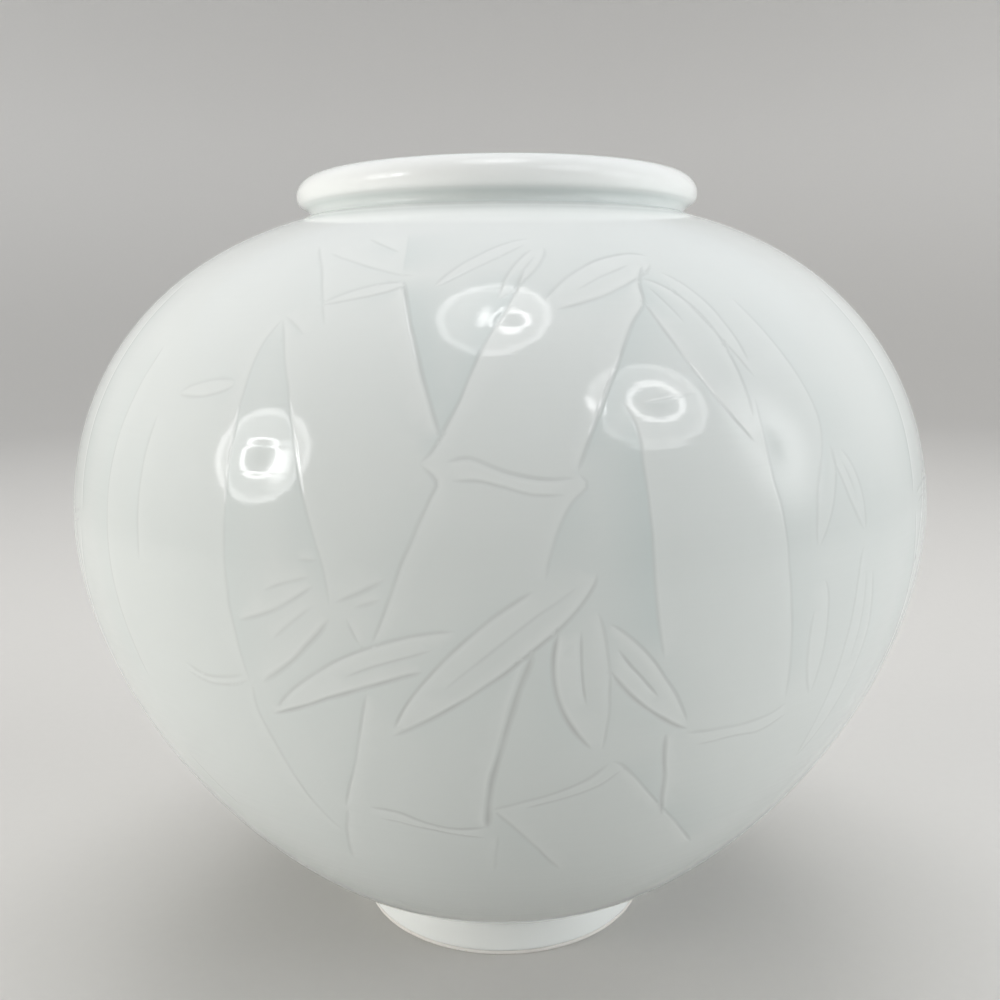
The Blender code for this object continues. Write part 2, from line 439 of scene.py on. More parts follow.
def lip_roll():
    """The lip from its lower edge over the crown into the mouth."""
    width = LIP_RADIUS - CROWN_RADIUS
    height = CROWN_Z - LIP_WIDEST_Z
    start = -math.asin((LIP_WIDEST_RISE - LIP_LOWER_ROUND) / height)
    outer = np.linspace(start, math.pi / 2, 120)
    inner = np.linspace(0, math.pi / 2, 60)[1:]
    radius = (CROWN_RADIUS + width * np.cos(outer), CROWN_RADIUS - LIP_INNER_ROUND * np.sin(inner))
    z = (LIP_WIDEST_Z + height * np.sin(outer), MOUTH_EDGE_Z + LIP_INNER_DROP * np.cos(inner))
    return np.stack((np.concatenate(radius), np.concatenate(z)), 1)


class Outline:
    """A smooth outline in the (radius, height) plane, read by the distance travelled along it."""

    STEP = 0.05 * MM

    def __init__(self, corners, softness):
        corners = np.asarray(corners, float)
        travel = running_total(steps(corners))
        even = np.linspace(0, travel[-1], int(travel[-1] / self.STEP))
        self.points = self._soften(read_table(even, travel, corners), softness)
        self.measure(softness)

    def measure(self, softness):
        """Finds the distance travelled, the direction faced and the bend at each point."""
        step = steps(self.points)
        self.travel = running_total(step)
        slope = unit(np.gradient(self.points, axis=0))
        self.facing = -left_of(slope)
        turn = np.unwrap(np.arctan2(slope[:, 1], slope[:, 0]))
        self.bend = self._soften(np.gradient(turn, self.travel)[:, None], softness / 2)[:, 0]
        middle = np.maximum((self.points[1:, 0] + self.points[:-1, 0]) / 2, self.STEP)
        self.stretch = running_total(step / middle)

    def _soften(self, points, softness):
        """Gaussian smoothing that leaves the two ends where they are."""
        reach = int(3 * softness / self.STEP)
        if reach < 1:
            return points
        weights = np.exp(-0.5 * (np.arange(-reach, reach + 1) * self.STEP / softness) ** 2)
        weights /= weights.sum()
        before = 2 * points[0] - points[1:reach + 1][::-1]
        after = 2 * points[-1] - points[-reach - 1:-1][::-1]
        padded = np.vstack((before, points, after))
        return np.stack([np.convolve(column, weights, mode="valid") for column in padded.T], 1)

    def at(self, travel):
        """The points at distances travelled."""
        return read_table(travel, self.travel, self.points)

    def facing_at(self, travel):
        """The directions faced at distances travelled."""
        return unit(read_table(travel, self.travel, self.facing))

    def stations(self, start, end, turn, longest, shortest=0.25 * MM):
        """Distances from start to end, closer together where the outline bends."""
        result = [start]
        while result[-1] < end:
            bend = abs(np.interp(result[-1] + shortest, self.travel, self.bend))
            result.append(result[-1] + min(longest, max(shortest, turn / max(bend, 1e-6))))
        result = np.array(result)
        return start + (result - start) * (end - start) / (result[-1] - start)


# Faint lines that a rib left while the shoulder was turned, at these radii
TURNED_LINES = (66.5 * MM, 69.5 * MM, 77 * MM)
TURNED_LINE_WIDTH = MM
TURNED_LINE_DEPTH = 0.045 * MM

# The cove under the lip: how far it leans out as it rises, how far below the lip it ends, and how far out
# and up the lip's underside begins
COVE_LEAN = 0.3 * MM
COVE_DROP = 0.5 * MM
UNDERSIDE_OUT = 1.4 * MM
UNDERSIDE_UP = 0.15 * MM


def outside_outline(softness):
    """The outer face, from the glaze's lower edge on the foot to its inner edge in the mouth."""
    corners = np.vstack((
        ((FOOT_RADIUS - GLAZE, BARE_BAND), (FOOT_RADIUS, BARE_BAND)),
        lower_wall(0),
        upper_wall(0, NECK_RADIUS),
        (
            (NECK_RADIUS - COVE_LEAN, (NECK_Z + LIP_Z) / 2), (NECK_RADIUS + COVE_LEAN, LIP_Z - COVE_DROP),
            (NECK_RADIUS + UNDERSIDE_OUT, LIP_Z + UNDERSIDE_UP),
        ),
        lip_roll(),
    ))
    outline = Outline(corners, softness)
    shoulder = outline.points[:, 1] > SEAM_Z
    for radius in TURNED_LINES:
        middle = np.flatnonzero(shoulder & (outline.points[:, 0] > radius))[-1]
        apart = (outline.travel - outline.travel[middle]) / TURNED_LINE_WIDTH
        outline.points -= outline.facing * (TURNED_LINE_DEPTH * np.exp(-apart ** 2))[:, None]
    outline.measure(softness)
    return outline


# The bamboo, drawn in degrees round the vase, from the front towards its right, and in millimetres up

# Lines down the edges of the culms: strength of the cut, strength of the ground pared beside it, the side
# of that ground (1 to the left of the line's direction, -1 to its right), and points
CULM_EDGES = (
    (0.65, 1, 1, ((-12.2, 211), (-10.5, 204), (-9, 196), (-7.5, 188), (-5.5, 176.5))),
    (0.5, 0.9, -1, ((3.6, 213), (2, 207.5), (0.5, 202.5), (-1.8, 195), (-3.8, 185), (-6, 175.5),
     (-7.5, 172))),
    (0.5, 0.25, -1, ((-7.5, 172), (-5.8, 168.5), (-6.3, 165), (-7.6, 158.5), (-9, 151), (-10.5, 141),
     (-12, 133))),
    (0.6, 0.75, 1, ((20, 214), (18.2, 209.5), (17.5, 205), (15, 200), (12.3, 191.5), (9.3, 180),
     (7.2, 169.8))),
    (0.35, 0.6, 1, ((7.2, 169.8), (8, 167.3), (6.6, 164), (5.3, 158.5), (4.4, 152.5), (4, 147.5))),
    (0.28, 0.4, 1, ((-26.6, 202.5), (-27.8, 197), (-28, 188), (-27.8, 172), (-27.5, 150), (-26.8, 133),
     (-26, 120))),
    (0.28, 0.4, -1, ((-26.6, 202.5), (-24.3, 195), (-22, 185), (-20.5, 176.5), (-18.3, 161.5),
     (-16.5, 149), (-16, 141))),
    (0.35, 0.1, -1, ((-26.5, 203), (-24.5, 201), (-22.5, 198.5))),
    (0.45, 0.15, 1, ((-25.8, 119.5), (-25.9, 112.5), (-25, 104), (-23.8, 93), (-22.2, 83), (-20.5, 76))),
    (0.5, 0.2, -1, ((-13, 121), (-14.4, 109), (-16.2, 97.5), (-18.4, 86))),
    (0.5, 0.1, -1, ((-18.2, 85.5), (-19.8, 76), (-21.5, 64))),
    (0.35, 1, -1, ((12.3, 184), (13.3, 179.5), (13.6, 172), (13.9, 160), (14.1, 149.5), (14.5, 139),
     (15.5, 128))),
    (0.3, 0.1, -1, ((14.2, 183.6), (17.3, 184.5), (20.7, 185.3))),
    (0.75, 0.3, -1, ((16.7, 108.5), (17, 103), (17.8, 95.5), (18.3, 88), (19.3, 81.5))),
    (0.35, 0.35, 1, ((27.5, 184), (27.5, 170), (28.5, 156), (29.5, 138), (31.5, 111))),
    (0.3, 0.25, 1, ((31, 206), (33, 198), (35, 188), (36, 177), (34.5, 167), (33, 160))),
    (0.95, 0.05, 1, ((3, 132), (1.7, 124), (0.6, 115), (-0.5, 104.5), (-1.4, 95), (-1.8, 82))),
    (0.55, 0.25, -1, ((-1, 88.5), (2, 80.5), (4.5, 73), (7.6, 64))),
    (0.3, 0.1, 1, ((-0.6, 80), (-1.3, 64))),
    (0.55, 0.5, 1, ((11.3, 102), (13, 99.5), (17.8, 87), (22, 77), (27, 66))),
    (0.3, 0.2, -1, ((-40.5, 180), (-41, 165), (-40.5, 145))),
    (0.3, 0.3, -1, ((-46, 196), (-48, 170), (-47, 140), (-44, 112))),
    (0.3, 0.2, -1, ((-44, 88), (-39, 73))),
    (0.3, 0.2, -1, ((-29.5, 220), (-24.5, 212.5), (-20.3, 200.5))),
    (0.3, 0.15, -1, ((-26, 218), (-19.5, 215), (-14, 212.5), (-10.8, 211.8))),
    (0.3, 0.15, -1, ((-21, 221.5), (-14.3, 217.5))),
    (0.45, 0.05, 1, ((-17.8, 147.6), (-20.5, 145.8), (-23, 143.4))),
    (0.55, 0.15, 1, ((-17.5, 145.5), (-19.7, 142), (-23, 138), (-26.2, 135.5))),
    (0.4, 0.05, 1, ((-17.6, 141.2), (-19.9, 137), (-22.5, 132))),
    (0.7, 0.2, 1, ((-16, 138.5), (-17.6, 134), (-20.4, 127.3), (-24.4, 120.5))),
    (0.45, 0.1, -1, ((-14.4, 139), (-13.7, 135), (-13.2, 132.5))),
    (0.55, 0.15, 1, ((-10.5, 148), (-12.7, 145), (-15.5, 142))),
    (0.45, 0.05, 1, ((-10.9, 143.5), (-13.6, 141.3))),
    (0.35, 0.05, -1, ((-19.2, 151), (-17, 151.2))),
    (0.06, 0.55, 1, ((-14.6, 222.5), (-13.8, 219.5), (-13, 215.5), (-12.3, 211.5))),
)

# The rings at the joints of the culms: strength, then two lines from left to right
NODES = (
    (0.6, ((-5, 172.3), (-3.1, 173), (-1.4, 172), (0.9, 170), (3.8, 168.7), (7, 168.7)),
     ((-4.5, 168.4), (-2.1, 168.5), (0.2, 167.4), (2.8, 165.7), (6, 165.5))),
    (0.5, ((-35, 121.5), (-32, 119.3), (-28.5, 120.3), (-26.6, 121.7)),
     ((-35, 119), (-31.6, 117.5), (-28.2, 118.5), (-26.2, 120.5))),
    (0.45, ((19, 107.5), (23.5, 107), (27, 107), (30, 108), (32, 110)),
     ((20.5, 103.5), (25, 104), (29, 103.5), (32.5, 106.5))),
    (0.75, ((-15.4, 87), (-12.2, 86.5), (-8.8, 83.2), (-5.2, 81.6), (-1.8, 82.3)),
     ((-14.6, 83.7), (-10.7, 82), (-6.2, 79.8), (-2.1, 78.7))),
    (0.6, ((-1.3, 88.7), (1.5, 90.6), (5.2, 93.1), (8.9, 97), (11.1, 101.6)),
     ((2.4, 89.2), (6.1, 91.3), (10.2, 94.7), (12.6, 99.4))),
)

# Leaves: base, tip, width and sideways bow in millimetres, then for the left edge, the right edge and
# the vein where the cut starts and ends, as shares of the leaf, and its strength
LEAVES = (
    ((8.6, 149), (-11, 110), 11.5, -1.8, (0, 1, 0.9), (0.2, 0.98, 0.75), (0.08, 0.7, 0.4)),
    ((0.5, 135.5), (-24, 112.3), 8.8, -4, (0.32, 1, 0.95), (0.14, 0.97, 0.65), (0.24, 0.62, 0.55)),
    ((7.3, 143.5), (9.8, 104.5), 12, -2.2, (0.08, 0.97, 0.4), (0.15, 0.95, 1), (0.16, 0.64, 0.75)),
    ((8.8, 138), (19.2, 109), 8.8, -0.8, (0.04, 0.96, 0.7), (0.28, 1, 0.95), (0.2, 0.66, 0.85)),
    ((-11.5, 210), (-22, 205.5), 3.5, -0.5, (0, 1, 0.4), (0, 1, 0.4), None),
    ((6.5, 218.5), (0, 206), 5, 0, (0, 1, 0.4), (0.1, 1, 0.4), (0.2, 0.6, 0.3)),
    ((5, 220.5), (-8, 209), 3.8, -1, (0.1, 1, 0.35), (0, 1, 0.35), None),
    ((21.8, 216), (4.5, 203), 10.5, -1, (0.05, 0.9, 0.5), (0, 0.9, 0.5), (0.2, 0.7, 0.4)),
    ((18.5, 210.5), (26.2, 174), 12.5, 1.5, (0, 0.9, 0.45), (0.14, 1, 0.5), (0.06, 0.36, 0.35)),
    ((22, 212), (28.5, 188), 5, 1.5, (0, 0.9, 0.35), (0.1, 1, 0.35), None),
    ((36.5, 172), (33, 149), 6, 0, (0, 1, 0.35), (0.1, 1, 0.35), None),
    ((37, 172), (41, 150), 6, 1, (0.1, 1, 0.35), (0, 1, 0.35), (0.2, 0.6, 0.3)),
    ((34, 141), (35.5, 110), 6, -1, (0, 1, 0.35), (0.2, 1, 0.35), None),
    ((41, 147), (39, 88), 10, 4, (0.1, 1, 0.35), (0, 1, 0.35), (0.1, 0.5, 0.3)),
    ((-29.5, 188), (-38, 185), 4, 0, (0, 1, 0.35), (0, 1, 0.35), None),
)

# Where the grove stands again round the vase, and whether it is mirrored
GROVES = ((0, False), (122, True), (238, False))

# The culms between the groves: degrees round the vase, lean over their height in degrees, the heights
# of their two joints, and whether the spray of leaves hangs to the left
PLAIN_CULMS = ((61, 4, (97, 154), False), (180, -5, (111, 167), False), (297, -4, (103, 148), True))
CULM_FOOT = 64
CULM_TOP = 213

# Leaves that hang from a culm's upper joint, as in LEAVES, from the middle of the joint
SPRAY = (
    ((3.5, 6), (17, -9), 8.5, -1.2, (0, 1, 0.5), (0.1, 1, 0.6), (0.12, 0.6, 0.4)),
    ((3, 4), (9.5, -31), 9.5, 1.5, (0, 1, 0.55), (0.08, 1, 0.6), (0.14, 0.62, 0.4)),
    ((1.5, 5), (-5, -26), 8, 1.2, (0.1, 1, 0.5), (0, 1, 0.5), (0.2, 0.66, 0.4)),
)

# Widths of a bold line, a joint's ring and a fine line, and of the slope that is pared away beside a line
BOLD_LINE = 2.4 * MM
RING_LINE = 1.6 * MM
FINE_LINE = 1.2 * MM
BEVEL_WIDTH = 5 * MM

# How far the glaze pools over pared ground, over what length that fades at a line's ends, and how thickly
WASH_WIDTH = 20 * MM
WASH_TAPER = 12 * MM
WASH_SHARE = 0.28

# How far and how thinly the glaze covers the arris on a line's other side. The paler glaze there is also a
# painted highlight along the cut's edge
ARRIS_WIDTH = 1.1 * MM
ARRIS_SHARE = 0.22

# The steps between a line's points, in the first grove and on the rest of the vase
STATION = 1.3 * MM
BACK_STATION = 2 * MM

# Over what length a line fades at its ends, at most what share of the line, and what width is left there
END_TAPER = 4 * MM
LONGEST_TAPER = 0.45
END_WIDTH = 0.45

# How far a hand strays from a line, how much its pressure changes the depth and the width, and over what
# distance
WAVER = 0.16 * MM
PRESSURE = 0.22
WIDTH_PRESSURE = 0.6 * PRESSURE
WAVER_LENGTH = 5 * MM

# A groove's two slopes as shares of half its width: towards the pared ground, and on the other side
GROUND_SLOPE = 1.2
STEEP_SLOPE = 0.85

# The rows of points that follow a line: on it, as shares of half its width towards its pared side, just
# outside it on the other side, and on the pared side, as shares of the bevel's width
LINE_ROWS = (-1.15, -0.55, 0, 0.55, 1.15)
OUTSIDE_ROW = -2
PARED_ROWS = (0.45, 1)

# How far from a line its cut is felt, how the glaze on pared ground falls off, and the distance within
# which the nearest line counts most
CUT_REACH = 1.1 * BEVEL_WIDTH
WASH_FALL = 1.5
NEAREST = 0.5 * MM

# A leaf: how full it is at its base and its tip, how much its edges widen with strength, and their ground
LEAF_BASE = 0.6
LEAF_TIP = 0.85
LEAF_BOLDER = 0.4 * MM
LEAF_GROUND = 0.3

# How far out from the foot and the neck the wall is unrolled
PAST_FOOT = 3 * MM
PAST_NECK = 4 * MM

# A plain culm: half its width in degrees at the foot, the millimetres of height that widen it by a degree,
# the slant of its ends and the gaps at its joints in millimetres, and how much narrower it is at mid-length
# and at its lower end
CULM_HALF = 4.2
CULM_WIDENING = 55
CULM_SLANT = 1.6
CULM_GAP = 2
CULM_WAIST = 1.3
CULM_INSET = 0.4

# How strongly the edges of a plain culm and the two rings of its joint are cut, and the edges' pared ground
CULM_CUT = 0.45
CULM_GROUND = 0.5
UPPER_RING_CUT = 0.5
LOWER_RING_CUT = 0.4

# The rings of a joint: how far in they end and how they rise, in degrees and millimetres, how far above and
# below the joint they lie, how broad the lower one is, and how strong on a culm whose points are listed
RING_INSET = 0.8
RING_RISES = (-0.6, 0.6, 1.2, 2.6)
RING_ABOVE = 1
RING_BELOW = 1.8
LOWER_RING = 0.9


def even_noise(count, seed):
    """Even random numbers from -1 to 1, the same on each run."""
    return np.random.default_rng(seed).uniform(-1, 1, count)


class Carving:
    """Every cut line, in the plane that unrolls the wall without changing any angle."""

    def __init__(self, outline, line_depth, bevel_depth):
        self.line_depth = line_depth
        self.bevel_depth = bevel_depth
        low = np.searchsorted(outline.points[:, 0] > FOOT_RADIUS + PAST_FOOT, True)
        high = np.flatnonzero(outline.points[:, 0] > NECK_RADIUS + PAST_NECK)[-1]
        self.radii, self.heights = outline.points[low:high].T
        self.rise = outline.stretch[low:high]
        self.cuts = []
        self.station = STATION
        for azimuth, mirrored in GROVES:
            self._grove(math.radians(azimuth), mirrored)
            self.station = BACK_STATION
        for azimuth, lean, joints, mirrored in PLAIN_CULMS:
            self._plain_culm(math.radians(azimuth), lean, joints)
            for base, tip, *shape in SPRAY:
                ends = [(across, up + joints[1]) for across, up in (base, tip)]
                self._leaf((*ends, *shape), math.radians(azimuth), mirrored)

    def _place(self, points, turn, mirrored):
        """Points in degrees and millimetres, turned by an angle and moved to the unrolled plane."""
        across, up = np.asarray(points, float).T
        across = np.radians(-across if mirrored else across) + turn
        return np.stack((across, np.interp(up * MM, self.heights, self.rise)), 1)

    def _radius(self, rise):
        return np.interp(rise, self.rise, self.radii)

    def _curve(self, points):
        """A smooth curve through the points, at even steps on the wall."""
        padded = np.vstack((2 * points[0] - points[1], points, 2 * points[-1] - points[-2]))
        t = np.linspace(0, 1, 24, endpoint=False)[:, None]
        pieces = []
        for p0, p1, p2, p3 in zip(padded, padded[1:], padded[2:], padded[3:]):
            c = 2 * p0 - 5 * p1 + 4 * p2 - p3
            d = -p0 + 3 * p1 - 3 * p2 + p3
            pieces.append(0.5 * (2 * p1 + (p2 - p0) * t + c * t * t + d * t ** 3))
        return self._even(np.vstack((*pieces, points[-1:])))

    def _even(self, dense):
        """Points at even steps on the wall along a line, and the distance travelled to each."""
        travel = running_total(steps(dense) * self._radius((dense[1:, 1] + dense[:-1, 1]) / 2))
        even = np.linspace(0, travel[-1], max(4, int(round(travel[-1] / self.station))) + 1)
        return read_table(even, travel, dense), even

    def _cut(self, line, width, strength, wash, side):
        """Keeps one line. Its ground lies to the left of its direction for side 1, right for -1."""
        curve, travel = line
        from_end = np.minimum(travel, travel[-1] - travel)
        radius = self._radius(curve[:, 1])
        knots = np.arange(0, travel[-1] + WAVER_LENGTH, WAVER_LENGTH)
        stray, press, broaden = (
            np.interp(travel, knots, even_noise(len(knots), 3 * len(self.cuts) + part)) for part in range(3)
        )

        def swell(taper):
            share = np.clip(from_end / min(taper, LONGEST_TAPER * travel[-1]), 0, 1)
            return share * (2 - share)

        broad = END_WIDTH + (1 - END_WIDTH) * swell(END_TAPER)
        left = left_of(unit(np.gradient(curve, axis=0)))
        self.cuts.append({
            "curve": curve + (WAVER * stray / radius)[:, None] * left,
            "radius": radius,
            "half": width / 2 * broad * (1 + WIDTH_PRESSURE * broaden),
            "strength": strength * swell(END_TAPER) * (1 + PRESSURE * press),
            "wash": wash * swell(WASH_TAPER),
            "side": side,
        })

    def _line(self, points, turn, mirrored, width, strength, wash, side):
        line = self._curve(self._place(points, turn, mirrored))
        self._cut(line, width, strength, wash, -side if mirrored else side)

    def _leaf(self, leaf, turn, mirrored):
        """The two edges and the vein of one leaf."""
        base, tip, width, bow, left, right, vein = leaf
        flip = -1 if mirrored else 1
        ends = self._place((base, tip), turn, mirrored)
        t = np.linspace(0, 1, 60)
        along = ends[1] - ends[0]
        across = np.array((-along[1], along[0])) / np.hypot(*along)
        scale = 1 / self._radius(ends[0, 1] + along[1] * t)
        middle = ends[0] + along * t[:, None]
        middle += (flip * 4 * bow * MM * t * (1 - t) * scale)[:, None] * across
        half = t ** LEAF_BASE * (1 - t) ** LEAF_TIP
        half *= width / 2 * MM / half.max() * scale

        def between(line, first, last):
            return self._even(line[(t >= first) & (t <= last)])

        for side, (first, last, strength) in ((flip, left), (-flip, right)):
            edge = between(middle + (side * half)[:, None] * across, first, last)
            bold = FINE_LINE + LEAF_BOLDER * strength
            self._cut(edge, bold, strength, LEAF_GROUND * strength, side)
        if vein:
            first, last, strength = vein
            self._cut(between(middle, first, last), FINE_LINE, strength, 0, flip)

    def _grove(self, turn, mirrored):
        for strength, wash, side, points in CULM_EDGES:
            width = FINE_LINE + (BOLD_LINE - FINE_LINE) * strength * strength
            self._line(points, turn, mirrored, width, strength, wash, side)
        for strength, upper, lower in NODES:
            self._line(upper, turn, mirrored, RING_LINE, strength, 0, 1)
            self._line(lower, turn, mirrored, FINE_LINE, LOWER_RING * strength, 0, -1)
        for leaf in LEAVES:
            self._leaf(leaf, turn, mirrored)

    def _plain_culm(self, turn, lean, joints):
        """A culm of three lengths that leans, with a slanted ring at each of its two joints."""
        levels = (CULM_FOOT, *joints, CULM_TOP)
        for number, (low, high) in enumerate(zip(levels, levels[1:])):
            half = CULM_HALF + (high - CULM_FOOT) / CULM_WIDENING
            bottom, middle, top = (
                lean * ((level - CULM_FOOT) / (CULM_TOP - CULM_FOOT) - 0.5)
                for level in (low, (low + high) / 2, high)
            )
            for side in (-1, 1):
                slant = side * CULM_SLANT
                edge = (
                    (top + side * half, high - CULM_GAP + slant),
                    (middle + side * (half - CULM_WAIST), (low + high) / 2),
                    (bottom + side * (half - CULM_INSET), low + CULM_GAP + slant),
                )
                self._line(edge, turn, False, RING_LINE, CULM_CUT, CULM_GROUND, side)
            if number < 2:
                ring = (RING_INSET - half, -half / 3, half / 3, half - RING_INSET)
                ring = list(zip(ring, RING_RISES))
                upper = [(top + across, high + RING_ABOVE + rise) for across, rise in ring]
                lower = [(top + LOWER_RING * across, high - RING_BELOW + rise) for across, rise in ring]
                self._line(upper, turn, False, RING_LINE, UPPER_RING_CUT, 0, 1)
                self._line(lower, turn, False, FINE_LINE, LOWER_RING_CUT, 0, -1)

    def rows(self):
        """Points for the mesh: along every line, just outside it, and further out on its pared side."""
        on_lines, outside, beside = [], [], []
        for cut in self.cuts:
            left = left_of(unit(np.gradient(cut["curve"], axis=0)))

            def aside(distance):
                return cut["curve"] + (distance / cut["radius"])[:, None] * left

            outside.append(aside(OUTSIDE_ROW * cut["side"] * cut["half"]))
            for share in LINE_ROWS:
                on_lines.append(aside(share * cut["side"] * cut["half"]))
            beside += [aside(share * cut["side"] * BEVEL_WIDTH) for share in PARED_ROWS]
        return np.vstack(on_lines), np.vstack(outside), np.vstack(beside)

    def depth(self, points, reach=CUT_REACH):
        """Depth of the cut at points of the plane, and the glaze there: in lines, on ground, on arrises."""
        total, line, arris, wash, weights, ground = np.zeros((6, len(points)))
        for cut in self.cuts:
            centre = cut["curve"].mean(0)
            curve = cut["curve"] - centre
            margin = reach / cut["radius"].min()
            across = (points[:, 0] - centre[0] + math.pi) % CIRCLE - math.pi
            here = np.stack((across, points[:, 1] - centre[1]), 1)
            near = (here > curve.min(0) - margin) & (here < curve.max(0) + margin)
            chosen = np.flatnonzero(near.all(1))
            if not len(chosen):
                continue
            *highest, weight, pared = self._profile(cut, here[chosen], curve)
            for kept, values in zip((total, line, arris, wash), highest):
                kept[chosen] = np.maximum(kept[chosen], values)
            weights[chosen] += weight
            ground[chosen] += weight * pared
        wash *= WASH_SHARE * ground / np.maximum(weights, 1e-9)
        return total, line, wash, arris * (1 - line)

    def _profile(self, cut, here, curve):
        """Across one line: depth, share of line, of arris and of wash, and its weight and pared side."""
        start, along = curve[:-1], np.diff(curve, axis=0)
        offset = here[:, None] - start[None]
        share = np.clip((offset * along[None]).sum(2) / (along ** 2).sum(1), 0, 1)
        away = offset - share[:, :, None] * along[None]
        distance = np.hypot(away[:, :, 0], away[:, :, 1])
        best = distance.argmin(1)
        index = np.arange(len(here))
        along, offset, share = along[best], offset[index, best], share[index, best]
        side = np.sign(along[:, 0] * offset[:, 1] - along[:, 1] * offset[:, 0]) * cut["side"]

        def read(name):
            return cut[name][best] * (1 - share) + cut[name][best + 1] * share

        def near_line(width):
            return np.clip(1 - np.abs(apart) / np.where(apart > 0, width, STEEP_SLOPE * half), 0, 1)

        apart = distance[index, best] * read("radius") * side
        half, strength, wash = read("half"), read("strength"), read("wash")
        core = near_line(GROUND_SLOPE * half)
        core = core * core * (3 - 2 * core)
        slope = near_line(BEVEL_WIDTH)
        sunk = strength * (self.line_depth * core + self.bevel_depth * slope * slope)
        # The arris paled: thin glaze over the cut's edge, and a painted highlight where it would catch the
        # light
        crest = np.where(apart < 0, np.exp(-((-apart - half) / ARRIS_WIDTH) ** 2), 0)
        spread = wash * np.clip(1 - np.abs(apart) / WASH_WIDTH, 0, 1) ** WASH_FALL
        weight = wash / (apart ** 2 + NEAREST ** 2)
        pared = np.clip(0.5 + apart / half, 0, 1)
        return sunk, strength * core, ARRIS_SHARE * strength * crest, spread, weight, pared


# How sharply an outline bends, per metre, before the glaze runs thin on it, and how fast it then thins
SHARP_BEND = 60
THINNING = 4

# The shoulder is paled from a little above the belly: partly glaze that has run down and lies thinner,
# partly painted light where the light from above falls on it. How far above the belly that begins, and how
# much
THIN_AND_PAINTED_LIGHT_FROM = 8 * MM
THIN_AND_PAINTED_LIGHT_SHARE = 0.5

# A painted ring of light where the shoulder leaves the neck, lightening the shade under the lip: how far
# out, half its width, how pale, and how far up
PAINTED_LIGHT_RING_PLACE = 1.6 * MM
PAINTED_LIGHT_RING_WIDTH = 1.6 * MM
PAINTED_LIGHT_RING_SHARE = 0.85
PAINTED_LIGHT_RING_ABOVE_NECK = 0.2 * MM

# How pale the glaze is at most and on the lip, where thin glaze and painted light both pale it, and how
# thin it is on the foot below its top
PALEST = 0.9
FOOT_SHARE = 0.6
FOOT_BAND = 1.5 * MM

# How many vertices a level ring has, and how many columns the grid of the carved wall
RIM_COLUMNS = 240
WALL_COLUMNS = 180

# The rim column, at the back, where the unrolled wall begins and ends
SEAM_COLUMN = 114
SEAM_AZIMUTH = SEAM_COLUMN * CIRCLE / RIM_COLUMNS
SEAM_STEP = 2 * MM

# The carved wall's points: how near the rims they come, how close together they are on the lines, just
# outside them and on pared ground, and how far from each other these kinds stay
RIM_MARGIN = 0.02
LINE_GAP, OUTSIDE_GAP, PARED_GAP = 0.16 * MM, 0.3 * MM, 0.7 * MM
OUTSIDE_CLEAR, PARED_CLEAR = 0.45 * MM, 0.8 * MM

# The grid between: height of a row and random shift of a point, as shares of a column, and what it clears
ROW_HEIGHT = 0.87
JITTER = 0.12
GRID_CLEAR = 0.45

# Where the carved wall begins above the foot and ends outside the neck
WALL_ABOVE_FOOT = 2.5 * MM
WALL_OUTSIDE_NECK = 22 * MM

# The level rings of the coat's face and back: turn in radians, longest step and shortest step
FACE_RINGS = (0.14, 2 * MM)
BACK_RINGS = (0.2, 6 * MM, 0.8 * MM)

# How far to each side the carving is read for its slope
SLOPE_REACH = 0.06 * MM


def wall_points(carving, low, high):
    """Vertices of the carved wall in the unrolled plane: two rims, the seam, the lines and a grid."""

    def spread(points, gap):
        """The points inside the two rims, less those that nearly coincide."""
        points = points[(points[:, 1] > low + RIM_MARGIN) & (points[:, 1] < high - RIM_MARGIN)]
        points[:, 0] %= CIRCLE
        points = points[np.abs(points[:, 0] - SEAM_AZIMUTH) > 0.5 * SEAM_STEP / BELLY_RADIUS]
        keys = np.round(points / (gap / BELLY_RADIUS)).astype(np.int64)
        return points[np.sort(np.unique(keys, axis=0, return_index=True)[1])]

    def clear_of(others, points, gap):
        """The points that are further than a gap from every one of the others."""
        tree = KDTree(3 * len(others))
        for shift in (-1, 0, 1):
            for index, (across, up) in enumerate(others):
                tree.insert((across + shift * CIRCLE, up, 0), index)
        tree.balance()
        distance = np.array([tree.find((across, up, 0))[2] for across, up in points])
        return points[distance > gap]

    lines, outside, beside = carving.rows()
    lines = spread(lines, LINE_GAP)
    outside = clear_of(lines, spread(outside, OUTSIDE_GAP), OUTSIDE_CLEAR / BELLY_RADIUS)
    lines = np.vstack((lines, outside))
    beside = clear_of(lines, spread(beside, PARED_GAP), PARED_CLEAR / BELLY_RADIUS)
    seam = np.linspace(low, high, int((high - low) * BELLY_RADIUS / SEAM_STEP))[1:-1]
    seam = np.stack((np.full(len(seam), SEAM_AZIMUTH), seam), 1)
    pitch = CIRCLE / WALL_COLUMNS
    rows = int((high - low) / (pitch * ROW_HEIGHT))
    grid = []
    for row in range(1, rows):
        across = (np.arange(WALL_COLUMNS) + 0.5 * (row % 2)) * pitch
        across += JITTER * pitch * even_noise(WALL_COLUMNS, row)
        up = low + (high - low) * row / rows + JITTER * pitch * even_noise(WALL_COLUMNS, 1000 + row)
        grid.append(np.stack((across, up), 1))
    marked = np.vstack((seam, lines, beside))
    marked = np.vstack((marked, clear_of(marked, np.vstack(grid), GRID_CLEAR * pitch)))
    rim = np.arange(RIM_COLUMNS) * CIRCLE / RIM_COLUMNS
    rims = [np.stack((rim, np.full(RIM_COLUMNS, up)), 1) for up in (low, high)]
    column = 2 * RIM_COLUMNS + np.arange(len(seam))
    return np.vstack((*rims, marked)), [SEAM_COLUMN, *column, RIM_COLUMNS + SEAM_COLUMN]


